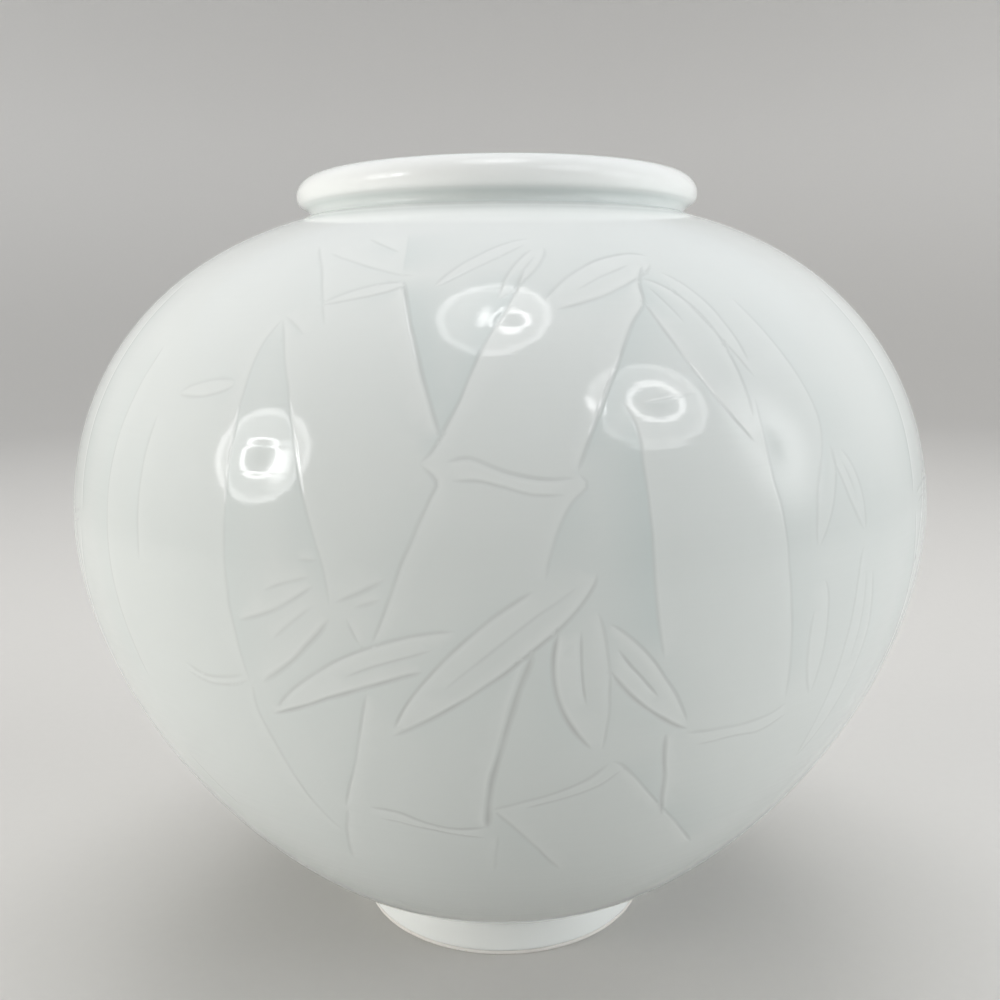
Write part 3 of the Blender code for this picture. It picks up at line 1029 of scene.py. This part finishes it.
def wall_faces(points, seam):
    """Triangles between the points, closed round the vase. The seam's vertices stand at both ends."""
    plane = points.copy()
    plane[:, 0] = (plane[:, 0] - SEAM_AZIMUTH) % CIRCLE
    plane[seam, 0] = 0
    far_side = len(points) + np.arange(len(seam))
    owners = np.concatenate((np.arange(len(points)), seam))
    plane = np.vstack((plane, plane[seam] + (CIRCLE, 0)))
    bottom = np.roll(np.arange(RIM_COLUMNS), -SEAM_COLUMN)
    top = bottom + RIM_COLUMNS
    border = [int(index) for index in (*bottom, *far_side, *top[:0:-1], *seam[:0:-1])]
    result = delaunay_2d_cdt([Vector(point) for point in plane], [], [border], 1, 1e-7)
    source = np.array([ids[0] for ids in result[3]])
    faces = np.array(result[2])
    corners = np.array([tuple(point) for point in result[0]])[faces]
    ab, ac = corners[:, 1] - corners[:, 0], corners[:, 2] - corners[:, 0]
    turned = ab[:, 0] * ac[:, 1] - ab[:, 1] * ac[:, 0] < 0
    faces[turned] = faces[turned][:, ::-1]
    return owners[source[faces]]


def on_outline(outline, across, travel, sink=0):
    """World points round the vase, and the direction that each faces before any carving."""
    facing = outline.facing_at(travel)
    flat = outline.at(travel) - facing * np.reshape(sink, (-1, 1))
    sin, cos = np.sin(across), np.cos(across)
    return [np.stack((part[:, 0] * sin, -part[:, 0] * cos, part[:, 1]), 1) for part in (flat, facing)]


def carved_normals(carving, outline, plane, travel, normals):
    """The directions that the wall's points face, leant by the slope of the carving there."""
    across = plane[:, 0]
    east = np.stack((np.cos(across), np.sin(across), np.zeros(len(across))), 1)
    result = normals
    for direction, axis in (((1, 0), east), ((0, 1), np.cross(normals, east))):
        step = (SLOPE_REACH / outline.at(travel)[:, 0])[:, None] * direction
        change = carving.depth(plane + step)[0] - carving.depth(plane - step)[0]
        result = result + (change / (2 * SLOPE_REACH))[:, None] * axis
    return result


def in_corners(bend, amount, most):
    """How thick the glaze lies where an outline bends inwards."""
    return np.clip(-bend * amount * MM, 0, most)


def over_edges(bend):
    """How thin the glaze lies where an outline bends sharply outwards."""
    return np.clip((bend - SHARP_BEND) * THINNING * MM, 0, PALEST)


def glaze_over(outline, travel):
    """How thick the glaze lies in corners, how pale from thin glaze on edges and from painted light, and
    the height, at distances travelled.
    """
    bend = np.interp(travel, outline.travel, outline.bend)
    radius, height = outline.at(travel).T
    # The lip and the cove under it paled: thin glaze over the lip, and painted light where the bright
    # shoulder lights them
    lip_thin_and_painted_light = np.clip((height - NECK_Z) / (LIP_Z + MM - NECK_Z), 0, 1)
    # The shoulder paled upwards: glaze run thin, and painted light from above
    run_down_and_painted_light = np.clip((height - SEAM_Z - THIN_AND_PAINTED_LIGHT_FROM) / (NECK_Z - SEAM_Z - THIN_AND_PAINTED_LIGHT_FROM), 0, 1)
    # A painted ring of light on the shoulder just outside the neck, where the lip shades it
    painted_light_ring = PAINTED_LIGHT_RING_SHARE * np.exp(-((radius - NECK_RADIUS - PAINTED_LIGHT_RING_PLACE) / PAINTED_LIGHT_RING_WIDTH) ** 2)
    painted_light_ring[(height <= SEAM_Z) | (height >= NECK_Z + PAINTED_LIGHT_RING_ABOVE_NECK)] = 0
    # Thin glaze over edges, and painted light with thin glaze on the lip, the shoulder and the ring under
    # the neck
    thin = (over_edges(bend), PALEST * lip_thin_and_painted_light, THIN_AND_PAINTED_LIGHT_SHARE * run_down_and_painted_light, painted_light_ring)
    return in_corners(bend, amount=0.8, most=0.2), np.max(thin, axis=0), height


def carved_coat(settings):
    """The outside coat as one closed skin: a carved face, a plain back and a rim at each end."""
    outline = outside_outline(settings.glaze_softness)
    carving = Carving(outline, settings.line_depth, settings.bevel_depth)
    radius, height = outline.points.T
    first = np.argmax(height > FOOT_HEIGHT + WALL_ABOVE_FOOT)
    last = np.flatnonzero((radius > NECK_RADIUS + WALL_OUTSIDE_NECK) & (height < NECK_Z))[-1]
    low, high = outline.stretch[[first, last]]
    plane, seam = wall_points(carving, low, high)
    travel = np.interp(plane[:, 1], outline.stretch, outline.travel)
    sink, line, pool, arris = carving.depth(plane, WASH_WIDTH)
    points, normals = on_outline(outline, plane[:, 0], travel, sink)
    parts = [(points, carved_normals(carving, outline, plane, travel, normals), travel)]
    columns = np.arange(RIM_COLUMNS) * CIRCLE / RIM_COLUMNS

    def count():
        return sum(len(part[2]) for part in parts)

    def rings(distances, sink=0, sign=1):
        """Adds level rings of vertices, and returns the numbers of each."""
        result = []
        for distance in distances:
            result.append(count() + np.arange(RIM_COLUMNS))
            place = np.full(RIM_COLUMNS, distance)
            ring, facing = on_outline(outline, columns, place, sink)
            parts.append((ring, sign * facing, place))
        return result

    def bands(chain):
        """Quads between rings, facing outwards where the rings go upwards."""
        pairs = zip(chain, chain[1:])
        return [np.stack((a, np.roll(a, -1), np.roll(b, -1), b), 1) for a, b in pairs]

    end = outline.travel[-1]
    lower = rings(outline.stations(0, outline.travel[first], *FACE_RINGS)[:-1])
    upper = rings(outline.stations(outline.travel[last], end, *FACE_RINGS)[1:])
    front = count()
    back = rings(outline.stations(0, end, *BACK_RINGS), GLAZE, -1)
    lower.append(np.arange(RIM_COLUMNS))
    upper.insert(0, np.arange(RIM_COLUMNS, 2 * RIM_COLUMNS))
    rims = bands((back[0], lower[0])) + bands((upper[-1], back[-1]))
    quads = bands(lower) + bands(upper) + [band[:, ::-1] for band in bands(back)] + rims
    faces = wall_faces(plane, seam).tolist() + np.vstack(quads).tolist()

    points, normals, travel = (np.concatenate(part) for part in zip(*parts))
    plain = np.zeros(len(points) - len(plane))
    thick, thin, height = glaze_over(outline, travel)
    pool = np.concatenate((pool, plain)) + thick
    pool[front:] = 0
    # The paler share: thin glaze, and painted light on the lip, the cove, the shoulder, the ring under the
    # neck and the arrises
    edge = np.clip(thin + np.concatenate((arris, plain)), 0, PALEST)
    edge[height < FOOT_HEIGHT - FOOT_BAND] = FOOT_SHARE

    mesh = bpy.data.meshes.new("carved_glaze")
    mesh.from_pydata(points.tolist(), [], faces)
    mesh.polygons.foreach_set("use_smooth", [True] * len(faces))
    corner = np.empty(len(mesh.loops), np.int32)
    mesh.loops.foreach_get("vertex_index", corner)
    corner_normals = (normals / np.linalg.norm(normals, axis=1)[:, None])[corner]
    flat = np.empty(3 * len(faces))
    mesh.polygons.foreach_get("normal", flat)
    # The last quads, one for each column of the two rims, look flat
    corner_normals[-8 * RIM_COLUMNS:] = np.repeat(flat.reshape(-1, 3)[-2 * RIM_COLUMNS:], 4, axis=0)
    store(mesh, {"pool": pool, "line": np.concatenate((line, plain)), "edge": edge})
    mesh.normals_split_custom_set(corner_normals.tolist())
    return mesh


def store(mesh, values):
    """Keeps numbers at the mesh's points, by name."""
    for name, numbers in values.items():
        attribute = mesh.attributes.new(name, "FLOAT", "POINT")
        attribute.data.foreach_set("value", np.asarray(numbers, np.float32))


# Turned pieces, made by Geometry Nodes from an outline

@node_group(
    "turned_form",
    {
        "Geometry": "Geometry", "Facets": "Int", "Ring Height": "Float", "Ring Pitch": "Float",
        "Material": "Material",
    },
    {"Geometry": "Geometry"},
    "GeometryNodeTree",
)
def turned_tree(tree, given):
    """Turns an outline about Z, with spiral throwing rings, and gives the result a material."""

    def geometry(kind, inputs=None, output=0, **settings):
        return add_node(tree, "GeometryNode" + kind, inputs, **settings).outputs[output]

    def sample(value, kind="FLOAT"):
        """A value of the outline, given by an attribute's name or an output, at the grid's row."""
        if isinstance(value, str):
            value = geometry("InputNamedAttribute", {"Name": value}, "Attribute", data_type=kind)
        inputs = {"Geometry": given["Geometry"], "Value": value, "Index": row}
        return geometry("SampleIndex", inputs, data_type=kind)

    facets = given["Facets"]
    columns = calc(tree, "ADD", facets, 1)
    count = geometry("AttributeDomainSize", {0: given["Geometry"]}, "Point Count")
    result = geometry("MeshGrid", {"Vertices X": count, "Vertices Y": columns}, "Mesh")
    index = geometry("InputIndex")
    row = calc(tree, "FLOOR", calc(tree, "DIVIDE", calc(tree, "ADD", index, 0.5), columns))
    column = calc(tree, "SUBTRACT", index, calc(tree, "MULTIPLY", row, columns))
    angle = calc(tree, "DIVIDE", calc(tree, "MULTIPLY", column, CIRCLE), facets)

    turns = calc(tree, "DIVIDE", calc(tree, "MULTIPLY", sample("travel"), CIRCLE), given["Ring Pitch"])
    wave = calc(tree, "SINE", calc(tree, "ADD", turns, angle))
    height = calc(tree, "MULTIPLY", calc(tree, "MULTIPLY", wave, sample("rings")), given["Ring Height"])
    lift = scaled(tree, sample("facing", "FLOAT_VECTOR"), height)
    moved = vector(tree, "ADD", sample(geometry("InputPosition"), "FLOAT_VECTOR"), lift)
    x, _, z = add_node(tree, "ShaderNodeSeparateXYZ", {0: moved}).outputs
    ahead = calc(tree, "MULTIPLY", x, calc(tree, "COSINE", angle))
    place = {
        "X": calc(tree, "MULTIPLY", x, calc(tree, "SINE", angle)),
        "Y": calc(tree, "MULTIPLY", ahead, -1),
        "Z": z,
    }
    place = add_node(tree, "ShaderNodeCombineXYZ", place).outputs[0]

    for label in ("pool", "edge"):
        inputs = {"Geometry": result, "Name": label, "Value": sample(label)}
        result = geometry("StoreNamedAttribute", inputs, data_type="FLOAT")
    result = geometry("SetPosition", {"Geometry": result, "Position": place})
    result = geometry("MergeByDistance", {"Geometry": result, "Distance": SAME_POINT})
    loose = calc(tree, "LESS_THAN", geometry("InputMeshEdgeNeighbors"), 0.5)
    result = geometry("DeleteGeometry", {"Geometry": result, "Selection": loose}, domain="EDGE")
    result = geometry("FlipFaces", {0: result})
    result = geometry("SetShadeSmooth", {"Geometry": result})
    result = geometry("RealizeInstances", {0: result})
    return [geometry("SetMaterial", {"Geometry": result, "Material": given["Material"]})]


def add_object(name, data):
    """An object in the scene."""
    made = bpy.data.objects.new(name, data)
    bpy.context.scene.collection.objects.link(made)
    return made


# Edges that turn by more than this look sharp, and points nearer than this are one
SHARP = math.radians(40)
SAME_POINT = 0.002 * MM


def turned_piece(name, face, back, settings, material, ring_weight=0):
    """Turns a closed outline, made of a face and a back, into one plain mesh object."""
    outline = np.vstack((face, back, face[:1]))
    mesh = bpy.data.meshes.new(name)
    points = [(radius, 0, z) for radius, z in outline]
    mesh.from_pydata(points, [(i, i + 1) for i in range(len(points) - 1)], [])
    travel = running_total(steps(outline))
    slope = unit(np.gradient(face, axis=0))
    bend = np.gradient(np.unwrap(np.arctan2(slope[:, 1], slope[:, 0])), travel[:len(face)])

    def on_face(values):
        """The values on the face, and 0 on the back."""
        result = np.zeros(len(outline))
        result[:len(face)] = values
        return result

    store(mesh, {
        "travel": travel, "rings": on_face(ring_weight),
        "pool": on_face(in_corners(bend, amount=1.1, most=0.4)), "edge": on_face(over_edges(bend)),
    })
    facing = np.stack((on_face(slope[:, 1]), on_face(0), on_face(-slope[:, 0])), 1)
    attribute = mesh.attributes.new("facing", "FLOAT_VECTOR", "POINT")
    attribute.data.foreach_set("vector", facing.astype(np.float32).ravel())
    piece = add_object(name, mesh)
    modifier = piece.modifiers.new("turned", "NODES")
    modifier.node_group = turned_tree()
    values = {
        "Facets": settings.facets, "Ring Height": settings.ring_height,
        "Ring Pitch": settings.ring_pitch, "Material": material,
    }
    for item in modifier.node_group.interface.items_tree:
        if item.in_out == "INPUT" and item.name in values:
            modifier[item.identifier] = values[item.name]
    graph = bpy.context.evaluated_depsgraph_get()
    result = bpy.data.meshes.new_from_object(piece.evaluated_get(graph))
    piece.modifiers.clear()
    piece.data = result
    result.name = name
    for label in ("travel", "rings", "facing"):
        if label in result.attributes:
            result.attributes.remove(result.attributes[label])
    result.set_sharp_from_angle(angle=SHARP)
    return piece


def coat_faces(corners, softness):
    """The face of a coat and its back, from a sharp outline whose left side is clay."""
    outline = Outline(corners, softness)
    travel = outline.stations(0, outline.travel[-1], turn=0.12, longest=5 * MM)
    face = outline.at(travel)
    back = face - outline.facing_at(travel) * GLAZE
    on_axis = face[:, 0] < 1e-6
    back[on_axis, 0] = 0
    face[on_axis, 0] = 0
    return face, back[::-1]


def inside_corners():
    """The inside face from the mouth down the wall to the centre of the floor."""
    depth = COAT + BODY_WALL + CLEARANCE + GLAZE
    lower = lower_wall(depth)
    upper = upper_wall(depth, MOUTH_RADIUS)
    return np.vstack(((0, lower[0][1]), lower, upper, (MOUTH_RADIUS, MOUTH_EDGE_Z)))[::-1]


# Operators, one for each piece, and one for the stage

# The throwing rings fade in over this height below the neck, and out towards the middle of the floor
RINGS_BELOW_NECK = 12 * MM
RINGS_FADE = 20 * MM
RINGS_FLOOR = 15 * MM

# The turned step at the foot's lower end: how far it stands out and how far below the glaze it begins
FOOT_STEP = 0.7 * MM
FOOT_STEP_DROP = 0.2 * MM


def settle(piece, node):
    """Lets a finished piece ride on the vase and stand for its solid."""
    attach(piece, "root")
    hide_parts(node)
    return {"FINISHED"}


class CELADON_OT_carved_glaze(bpy.types.Operator):
    """Make the outside coat with the bamboo cut into it"""

    bl_idname = "celadon.carved_glaze"
    bl_label = "Carved Outside Glaze"

    def execute(self, context):
        settings = context.scene.celadon
        mesh = carved_coat(settings)
        mesh.materials.append(glaze_material(
            "celadon_outside", settings,
            cloud_size=0.07, cloud_amount=0.14, line_pitch=2.2 * MM, line_height=0.02 * MM, roughness=0.015,
        ))
        return settle(add_object("carved_outside_glaze", mesh), "outside_glaze")


class CELADON_OT_inside_glaze(bpy.types.Operator):
    """Make the inside coat with its throwing rings"""

    bl_idname = "celadon.inside_glaze"
    bl_label = "Inside Glaze"

    def execute(self, context):
        settings = context.scene.celadon
        face, back = coat_faces(inside_corners(), softness=1.2 * MM)
        weight = np.clip((NECK_Z - RINGS_BELOW_NECK - face[:, 1]) / RINGS_FADE, 0, 1)
        weight *= np.clip(face[:, 0] / RINGS_FLOOR, 0, 1)
        material = glaze_material(
            "celadon_inside", settings,
            cloud_size=0.05, cloud_amount=0.2, line_pitch=3.5 * MM, line_height=0.03 * MM, roughness=0.03,
        )
        piece = turned_piece("inside_glaze_coat", face, back, settings, material, weight)
        return settle(piece, "inside_glaze")


class CELADON_OT_base_glaze(bpy.types.Operator):
    """Make the coat in the hollow of the foot"""

    bl_idname = "celadon.base_glaze"
    bl_label = "Base Glaze"

    def execute(self, context):
        settings = context.scene.celadon
        face_z = BASE_HIGH.z - GLAZE
        corners = ((0, face_z), (BASE_RADIUS, face_z), (BASE_RADIUS, BASE_LOW.z))
        face, back = coat_faces(corners, softness=0.9 * MM)
        back[:, 1] = np.minimum(back[:, 1], BASE_HIGH.z)
        material = glaze_material(
            "celadon_base", settings,
            cloud_size=0.03, cloud_amount=0.25, line_pitch=1.6 * MM, line_height=0.03 * MM, roughness=0.03,
        )
        piece = turned_piece("base_glaze_coat", face, back, settings, material)
        return settle(piece, "base_glaze")


class CELADON_OT_foot(bpy.types.Operator):
    """Make the bare foot ring, worn round at the edges that stand on the table"""

    bl_idname = "celadon.foot"
    bl_label = "Foot Ring"

    def execute(self, context):
        settings = context.scene.celadon
        outer, inner, top = FOOT_HIGH.x, BASE_HIGH.x + CLEARANCE, FOOT_HIGH.z
        corners = (
            (inner, top), (inner, 0),
            (outer + FOOT_STEP, 0), (outer + FOOT_STEP, BARE_BAND - FOOT_STEP_DROP),
            (outer, BARE_BAND), (FOOT_TOP_RADIUS - COAT, top),
        )
        outline = Outline(corners, softness=0.2 * MM)
        ring = outline.at(outline.stations(0, outline.travel[-1], turn=0.2, longest=3 * MM))
        ring[:, 1] = np.maximum(ring[:, 1], 0)
        material = clay_material(
            "bare_foot_clay", settings, stain_amount=0.35, grain_height=0.06 * MM, roughness=0.72,
        )
        piece = turned_piece("foot_ring_clay", ring, np.empty((0, 2)), settings, material)
        return settle(piece, "foot_ring")


class CELADON_OT_clay_sections(bpy.types.Operator):
    """Give the thrown sections under the glaze their fired clay"""

    bl_idname = "celadon.clay_sections"
    bl_label = "Clay Sections"

    def execute(self, context):
        settings = context.scene.celadon
        material = clay_material(
            "body_clay", settings, stain_amount=0.15, grain_height=0.04 * MM, roughness=0.8,
        )
        for name in ("lower_body", "upper_body", "neck", "rolled_lip"):
            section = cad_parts[name]
            if not section.material_slots:
                section.data.materials.append(None)
            for slot in section.material_slots:
                slot.material = material
        return {"FINISHED"}


# The camera of the photograph: how far it stands from the vase's axis, its height and its tilt
CAMERA_DISTANCE = 338 * MM
CAMERA_HEIGHT = 203.6 * MM
CAMERA_PITCH = math.radians(10.715)
CAMERA_ROLL = math.radians(-0.59)

# The floor: its flat radius, the radius that it curves up with, the height of the backdrop, and how many
# points the curve has and how many sides the floor
FLOOR_RADIUS = 1.6
FLOOR_BEND = 0.9
BACKDROP_HEIGHT = 1.7
BEND_POINTS = 12
FLOOR_SIDES = 64


def add_camera():
    """A camera where the photograph was taken from, with its angle of view."""
    data = bpy.data.cameras.new("camera")
    data.sensor_width = 36
    data.lens = 36
    data.clip_start = 0.01
    camera = add_object("camera", data)
    ahead = Vector((0, math.cos(CAMERA_PITCH), -math.sin(CAMERA_PITCH)))
    right = Vector((1, 0, 0))
    up = right.cross(ahead)
    cos, sin = math.cos(CAMERA_ROLL), math.sin(CAMERA_ROLL)
    turn = Matrix((cos * right + sin * up, cos * up - sin * right, -ahead)).transposed().to_4x4()
    camera.matrix_world = Matrix.Translation((0, -CAMERA_DISTANCE, CAMERA_HEIGHT)) @ turn
    bpy.context.scene.camera = camera


def add_sweep(material):
    """A floor that curves up into a backdrop all round, so that it shows in every view."""
    line = [(0, 0), (FLOOR_RADIUS, 0)]
    for angle in np.linspace(0.1, math.pi / 2, BEND_POINTS):
        line.append((FLOOR_RADIUS + FLOOR_BEND * math.sin(angle), FLOOR_BEND * (1 - math.cos(angle))))
    line.append((FLOOR_RADIUS + FLOOR_BEND, BACKDROP_HEIGHT))
    bm = bmesh.new()
    verts = [bm.verts.new((radius, 0, z)) for radius, z in line]
    edges = [bm.edges.new(pair) for pair in zip(verts, verts[1:])]
    spun = {"cent": (0, 0, 0), "axis": (0, 0, 1), "angle": CIRCLE, "steps": FLOOR_SIDES}
    bmesh.ops.spin(bm, geom=verts + edges, **spun)
    bmesh.ops.remove_doubles(bm, verts=bm.verts, dist=MM)
    bmesh.ops.recalc_face_normals(bm, faces=bm.faces)
    mesh = bpy.data.meshes.new("floor")
    bm.to_mesh(mesh)
    bm.free()
    mesh.shade_smooth()
    mesh.materials.append(material)
    floor = add_object("floor", mesh)


def floor_material(settings):
    """Paper with a faint grain, in the floor's colour below and the backdrop's above."""
    material, tree, shader = new_material("floor_paper")
    rise = fade(tree, height_on_object(tree), start=0, end=0.7, first=0, last=1)
    paper = blend(tree, rise, opaque(settings.floor_colour), opaque(settings.backdrop_colour))
    fibres = noise(tree, {"Vector": object_place(tree), "Scale": 220.0, "Detail": 4.0})
    shade = fade(tree, fibres, start=0, end=1, first=0.985, last=1.015, smooth=False)
    fill(shader, {"Base Color": scaled(tree, paper, shade), "Roughness": 0.85})
    return material


@node_group(
    "lamp_face",
    {
        "Edge Softness": 0.5, "Cover": 1.0, "Rim": 0.0, "Ring": 0.0, "Ring Centre": (0, 0, 0),
        "Ring Radius": 0.42, "Patch": 0.0, "Patch Centre": (0, 0, 0), "Patch Size": (0.2, 0.2, 1),
    },
    {"Strength": "Float"},
)
def lamp_face_group(tree, given):
    """Brightness across a lamp's face: its cover, a brighter rim, a small ring and a patch beside it."""

    def band(distance, middle, half_width):
        """1 where the distance equals the middle, and 0 further from it than the half width."""
        apart = calc(tree, "ABSOLUTE", calc(tree, "SUBTRACT", distance, middle))
        return fade(tree, apart, 0, half_width, 1, 0)

    face = tree.nodes.new("ShaderNodeNewGeometry").outputs["Parametric"]
    place = vector(tree, "MULTIPLY_ADD", face, (2, 2, 0), (-1, -1, 0))
    radius = vector(tree, "LENGTH", place)
    cover = fade(tree, radius, calc(tree, "SUBTRACT", 1.0, given["Edge Softness"]), 1, 1, 0)
    from_ring = vector(tree, "LENGTH", vector(tree, "SUBTRACT", place, given["Ring Centre"]))
    hole = fade(tree, from_ring, 0, calc(tree, "ADD", given["Ring Radius"], 0.01), 0, 1)
    from_patch = vector(tree, "SUBTRACT", place, given["Patch Centre"])
    from_patch = vector(tree, "LENGTH", vector(tree, "DIVIDE", from_patch, given["Patch Size"]))
    total = calc(tree, "MULTIPLY", calc(tree, "MULTIPLY", cover, given["Cover"]), hole)
    for label, bright in (
        ("Rim", band(radius, middle=0.87, half_width=0.13)),
        ("Ring", band(from_ring, given["Ring Radius"], half_width=0.1)),
        ("Patch", band(from_patch, middle=0, half_width=1)),
    ):
        total = calc(tree, "MULTIPLY_ADD", bright, given[label], total)
    return [total]


def add_lamp(name, place, aim, size, power, colour_value=(1, 1, 1), spread=math.pi, face=None):
    """An oval soft lamp that the camera doesn't see, with values for the pattern on its face."""
    data = bpy.data.lights.new(name, "AREA")
    data.shape = "ELLIPSE"
    data.size, data.size_y = size
    data.energy = power
    data.color = colour_value
    data.spread = spread
    data.use_nodes = True
    tree = data.node_tree
    pattern = add_node(tree, "ShaderNodeGroup", face or {"Edge Softness": 0.9}, node_tree=lamp_face_group())
    fill(tree.nodes["Emission"], {"Strength": pattern.outputs["Strength"]})
    lamp = add_object(name, data)
    lamp.location = place
    lamp.rotation_euler = (Vector(aim) - Vector(place)).to_track_quat("-Z", "Y").to_euler()
    lamp.visible_camera = False
    return lamp


# The small lamps whose reflections show in the glaze: degrees round the vase and millimetres up where
# each shows, width and height, power in watts, and what its face shows. The last is a broad faint glow.
GLINT_FACE = {"Edge Softness": 0.12, "Ring": 3.2, "Patch": 3.4}
GLINTS = (
    (-0.5, 202, (0.47, 0.66), 1.7, {
        **GLINT_FACE, "Ring Centre": (0.3, -0.05, 0), "Ring Radius": 0.26, "Cover": 0.65, "Rim": 0.85,
        "Patch Centre": (-0.13, 0, 0), "Patch Size": (0.2, 0.42, 1),
    }),
    (15, 183.2, (0.62, 0.62), 1.6, {
        **GLINT_FACE, "Ring Centre": (0.14, 0.02, 0), "Ring Radius": 0.4, "Cover": 0.85, "Rim": 0.7,
        "Patch Centre": (-0.78, 0.36, 0), "Patch Size": (0.12, 0.34, 1),
    }),
    (-24, 172.8, (0.56, 0.60), 2.2, {
        **GLINT_FACE, "Ring Centre": (0, -0.05, 0), "Ring Radius": 0.36, "Cover": 0.75, "Rim": 0.9,
        "Patch Centre": (0.46, -0.05, 0), "Patch Size": (0.34, 0.66, 1),
    }),
    (28.5, 173, (0.6, 1.0), 4.5, {"Edge Softness": 0.95}),
)

# How far from the wall the small lamps stand
LAMP_DISTANCE = 1.1

# The lamps that light the vase: place, the height that each points at, size, power in watts, colour and
# the angle that its light spreads over
WARM, COOL, PLAIN = (1, 0.97, 0.925), (0.97, 0.985, 1), (1, 1, 1)
FAN = math.radians(85)
LAMPS = {
    "overhead_lamp": ((0, 0.6, 1.9), 0.1, (2.4, 2.0), 78, PLAIN, math.pi),
    "left_lamp": ((-1.5, -0.4, 0.35), 0.09, (1.2, 0.9), 12.5, WARM, FAN),
    "right_lamp": ((1.5, -0.3, 0.5), 0.11, (1.2, 0.9), 11, COOL, FAN),
    "front_lamp": ((0, -1.8, 0.5), 0.15, (1.6, 1.0), 4, PLAIN, math.pi),
}


def add_glint(name, azimuth, height, size, power, face, outline):
    """A small lamp placed where its reflection falls on a spot of the wall."""
    index = int(np.argmin(np.abs(outline.points[:, 1] - height * MM)))
    place, normal = on_outline(outline, np.radians([azimuth]), outline.travel[[index]])
    spot, normal = Vector(place[0]), Vector(normal[0])
    incoming = (spot - Vector((0, -CAMERA_DISTANCE, CAMERA_HEIGHT))).normalized()
    away = incoming.reflect(normal) * LAMP_DISTANCE
    add_lamp(name, spot + away, spot, size, power, face=face).visible_diffuse = False


class CELADON_OT_stage(bpy.types.Operator):
    """Make the floor, the lamps and the camera"""

    bl_idname = "celadon.stage"
    bl_label = "Stage"

    def execute(self, context):
        scene = context.scene
        settings = scene.celadon
        add_camera()
        add_sweep(floor_material(settings))
        for name, (place, aim, size, power, tint, spread) in LAMPS.items():
            power *= settings.lamp_strength
            add_lamp(name, place, (0, 0, aim), size, power, tint, spread).visible_glossy = False
        outline = outside_outline(settings.glaze_softness)
        for number, (azimuth, height, size, power, face) in enumerate(GLINTS, 1):
            power *= settings.lamp_strength
            add_glint(f"small_lamp_{number}", azimuth, height, size, power, face, outline)
        world = bpy.data.worlds.new("studio")
        world.use_nodes = True
        fill(world.node_tree.nodes["Background"], {"Color": (0.95, 0.97, 1, 1), "Strength": 0.475})
        scene.world = world
        scene.view_settings.view_transform = "Standard"
        return {"FINISHED"}


OPERATORS = (
    CELADON_OT_carved_glaze,
    CELADON_OT_inside_glaze,
    CELADON_OT_base_glaze,
    CELADON_OT_foot,
    CELADON_OT_clay_sections,
    CELADON_OT_stage,
)


class CELADON_PT_vase(bpy.types.Panel):
    """Lists the steps that make the vase"""

    bl_idname = "CELADON_PT_vase"
    bl_label = "Celadon Vase"
    bl_space_type = "VIEW_3D"
    bl_region_type = "UI"
    bl_category = "Vase"

    def draw(self, context):
        for operator in OPERATORS:
            self.layout.operator(operator.bl_idname)
        for name in VaseSettings.__annotations__:
            self.layout.prop(context.scene.celadon, name)


CLASSES = (VaseSettings, *OPERATORS, CELADON_PT_vase)


def register():
    for item in CLASSES:
        bpy.utils.register_class(item)
    bpy.types.Scene.celadon = PointerProperty(type=VaseSettings)


def unregister():
    del bpy.types.Scene.celadon
    for item in reversed(CLASSES):
        bpy.utils.unregister_class(item)


def main():
    """Makes the whole vase and its stage."""
    register()
    bpy.ops.celadon.carved_glaze()
    bpy.ops.celadon.inside_glaze()
    bpy.ops.celadon.base_glaze()
    bpy.ops.celadon.foot()
    bpy.ops.celadon.clay_sections()
    bpy.ops.celadon.stage()


if __name__ == "__main__":
    main()
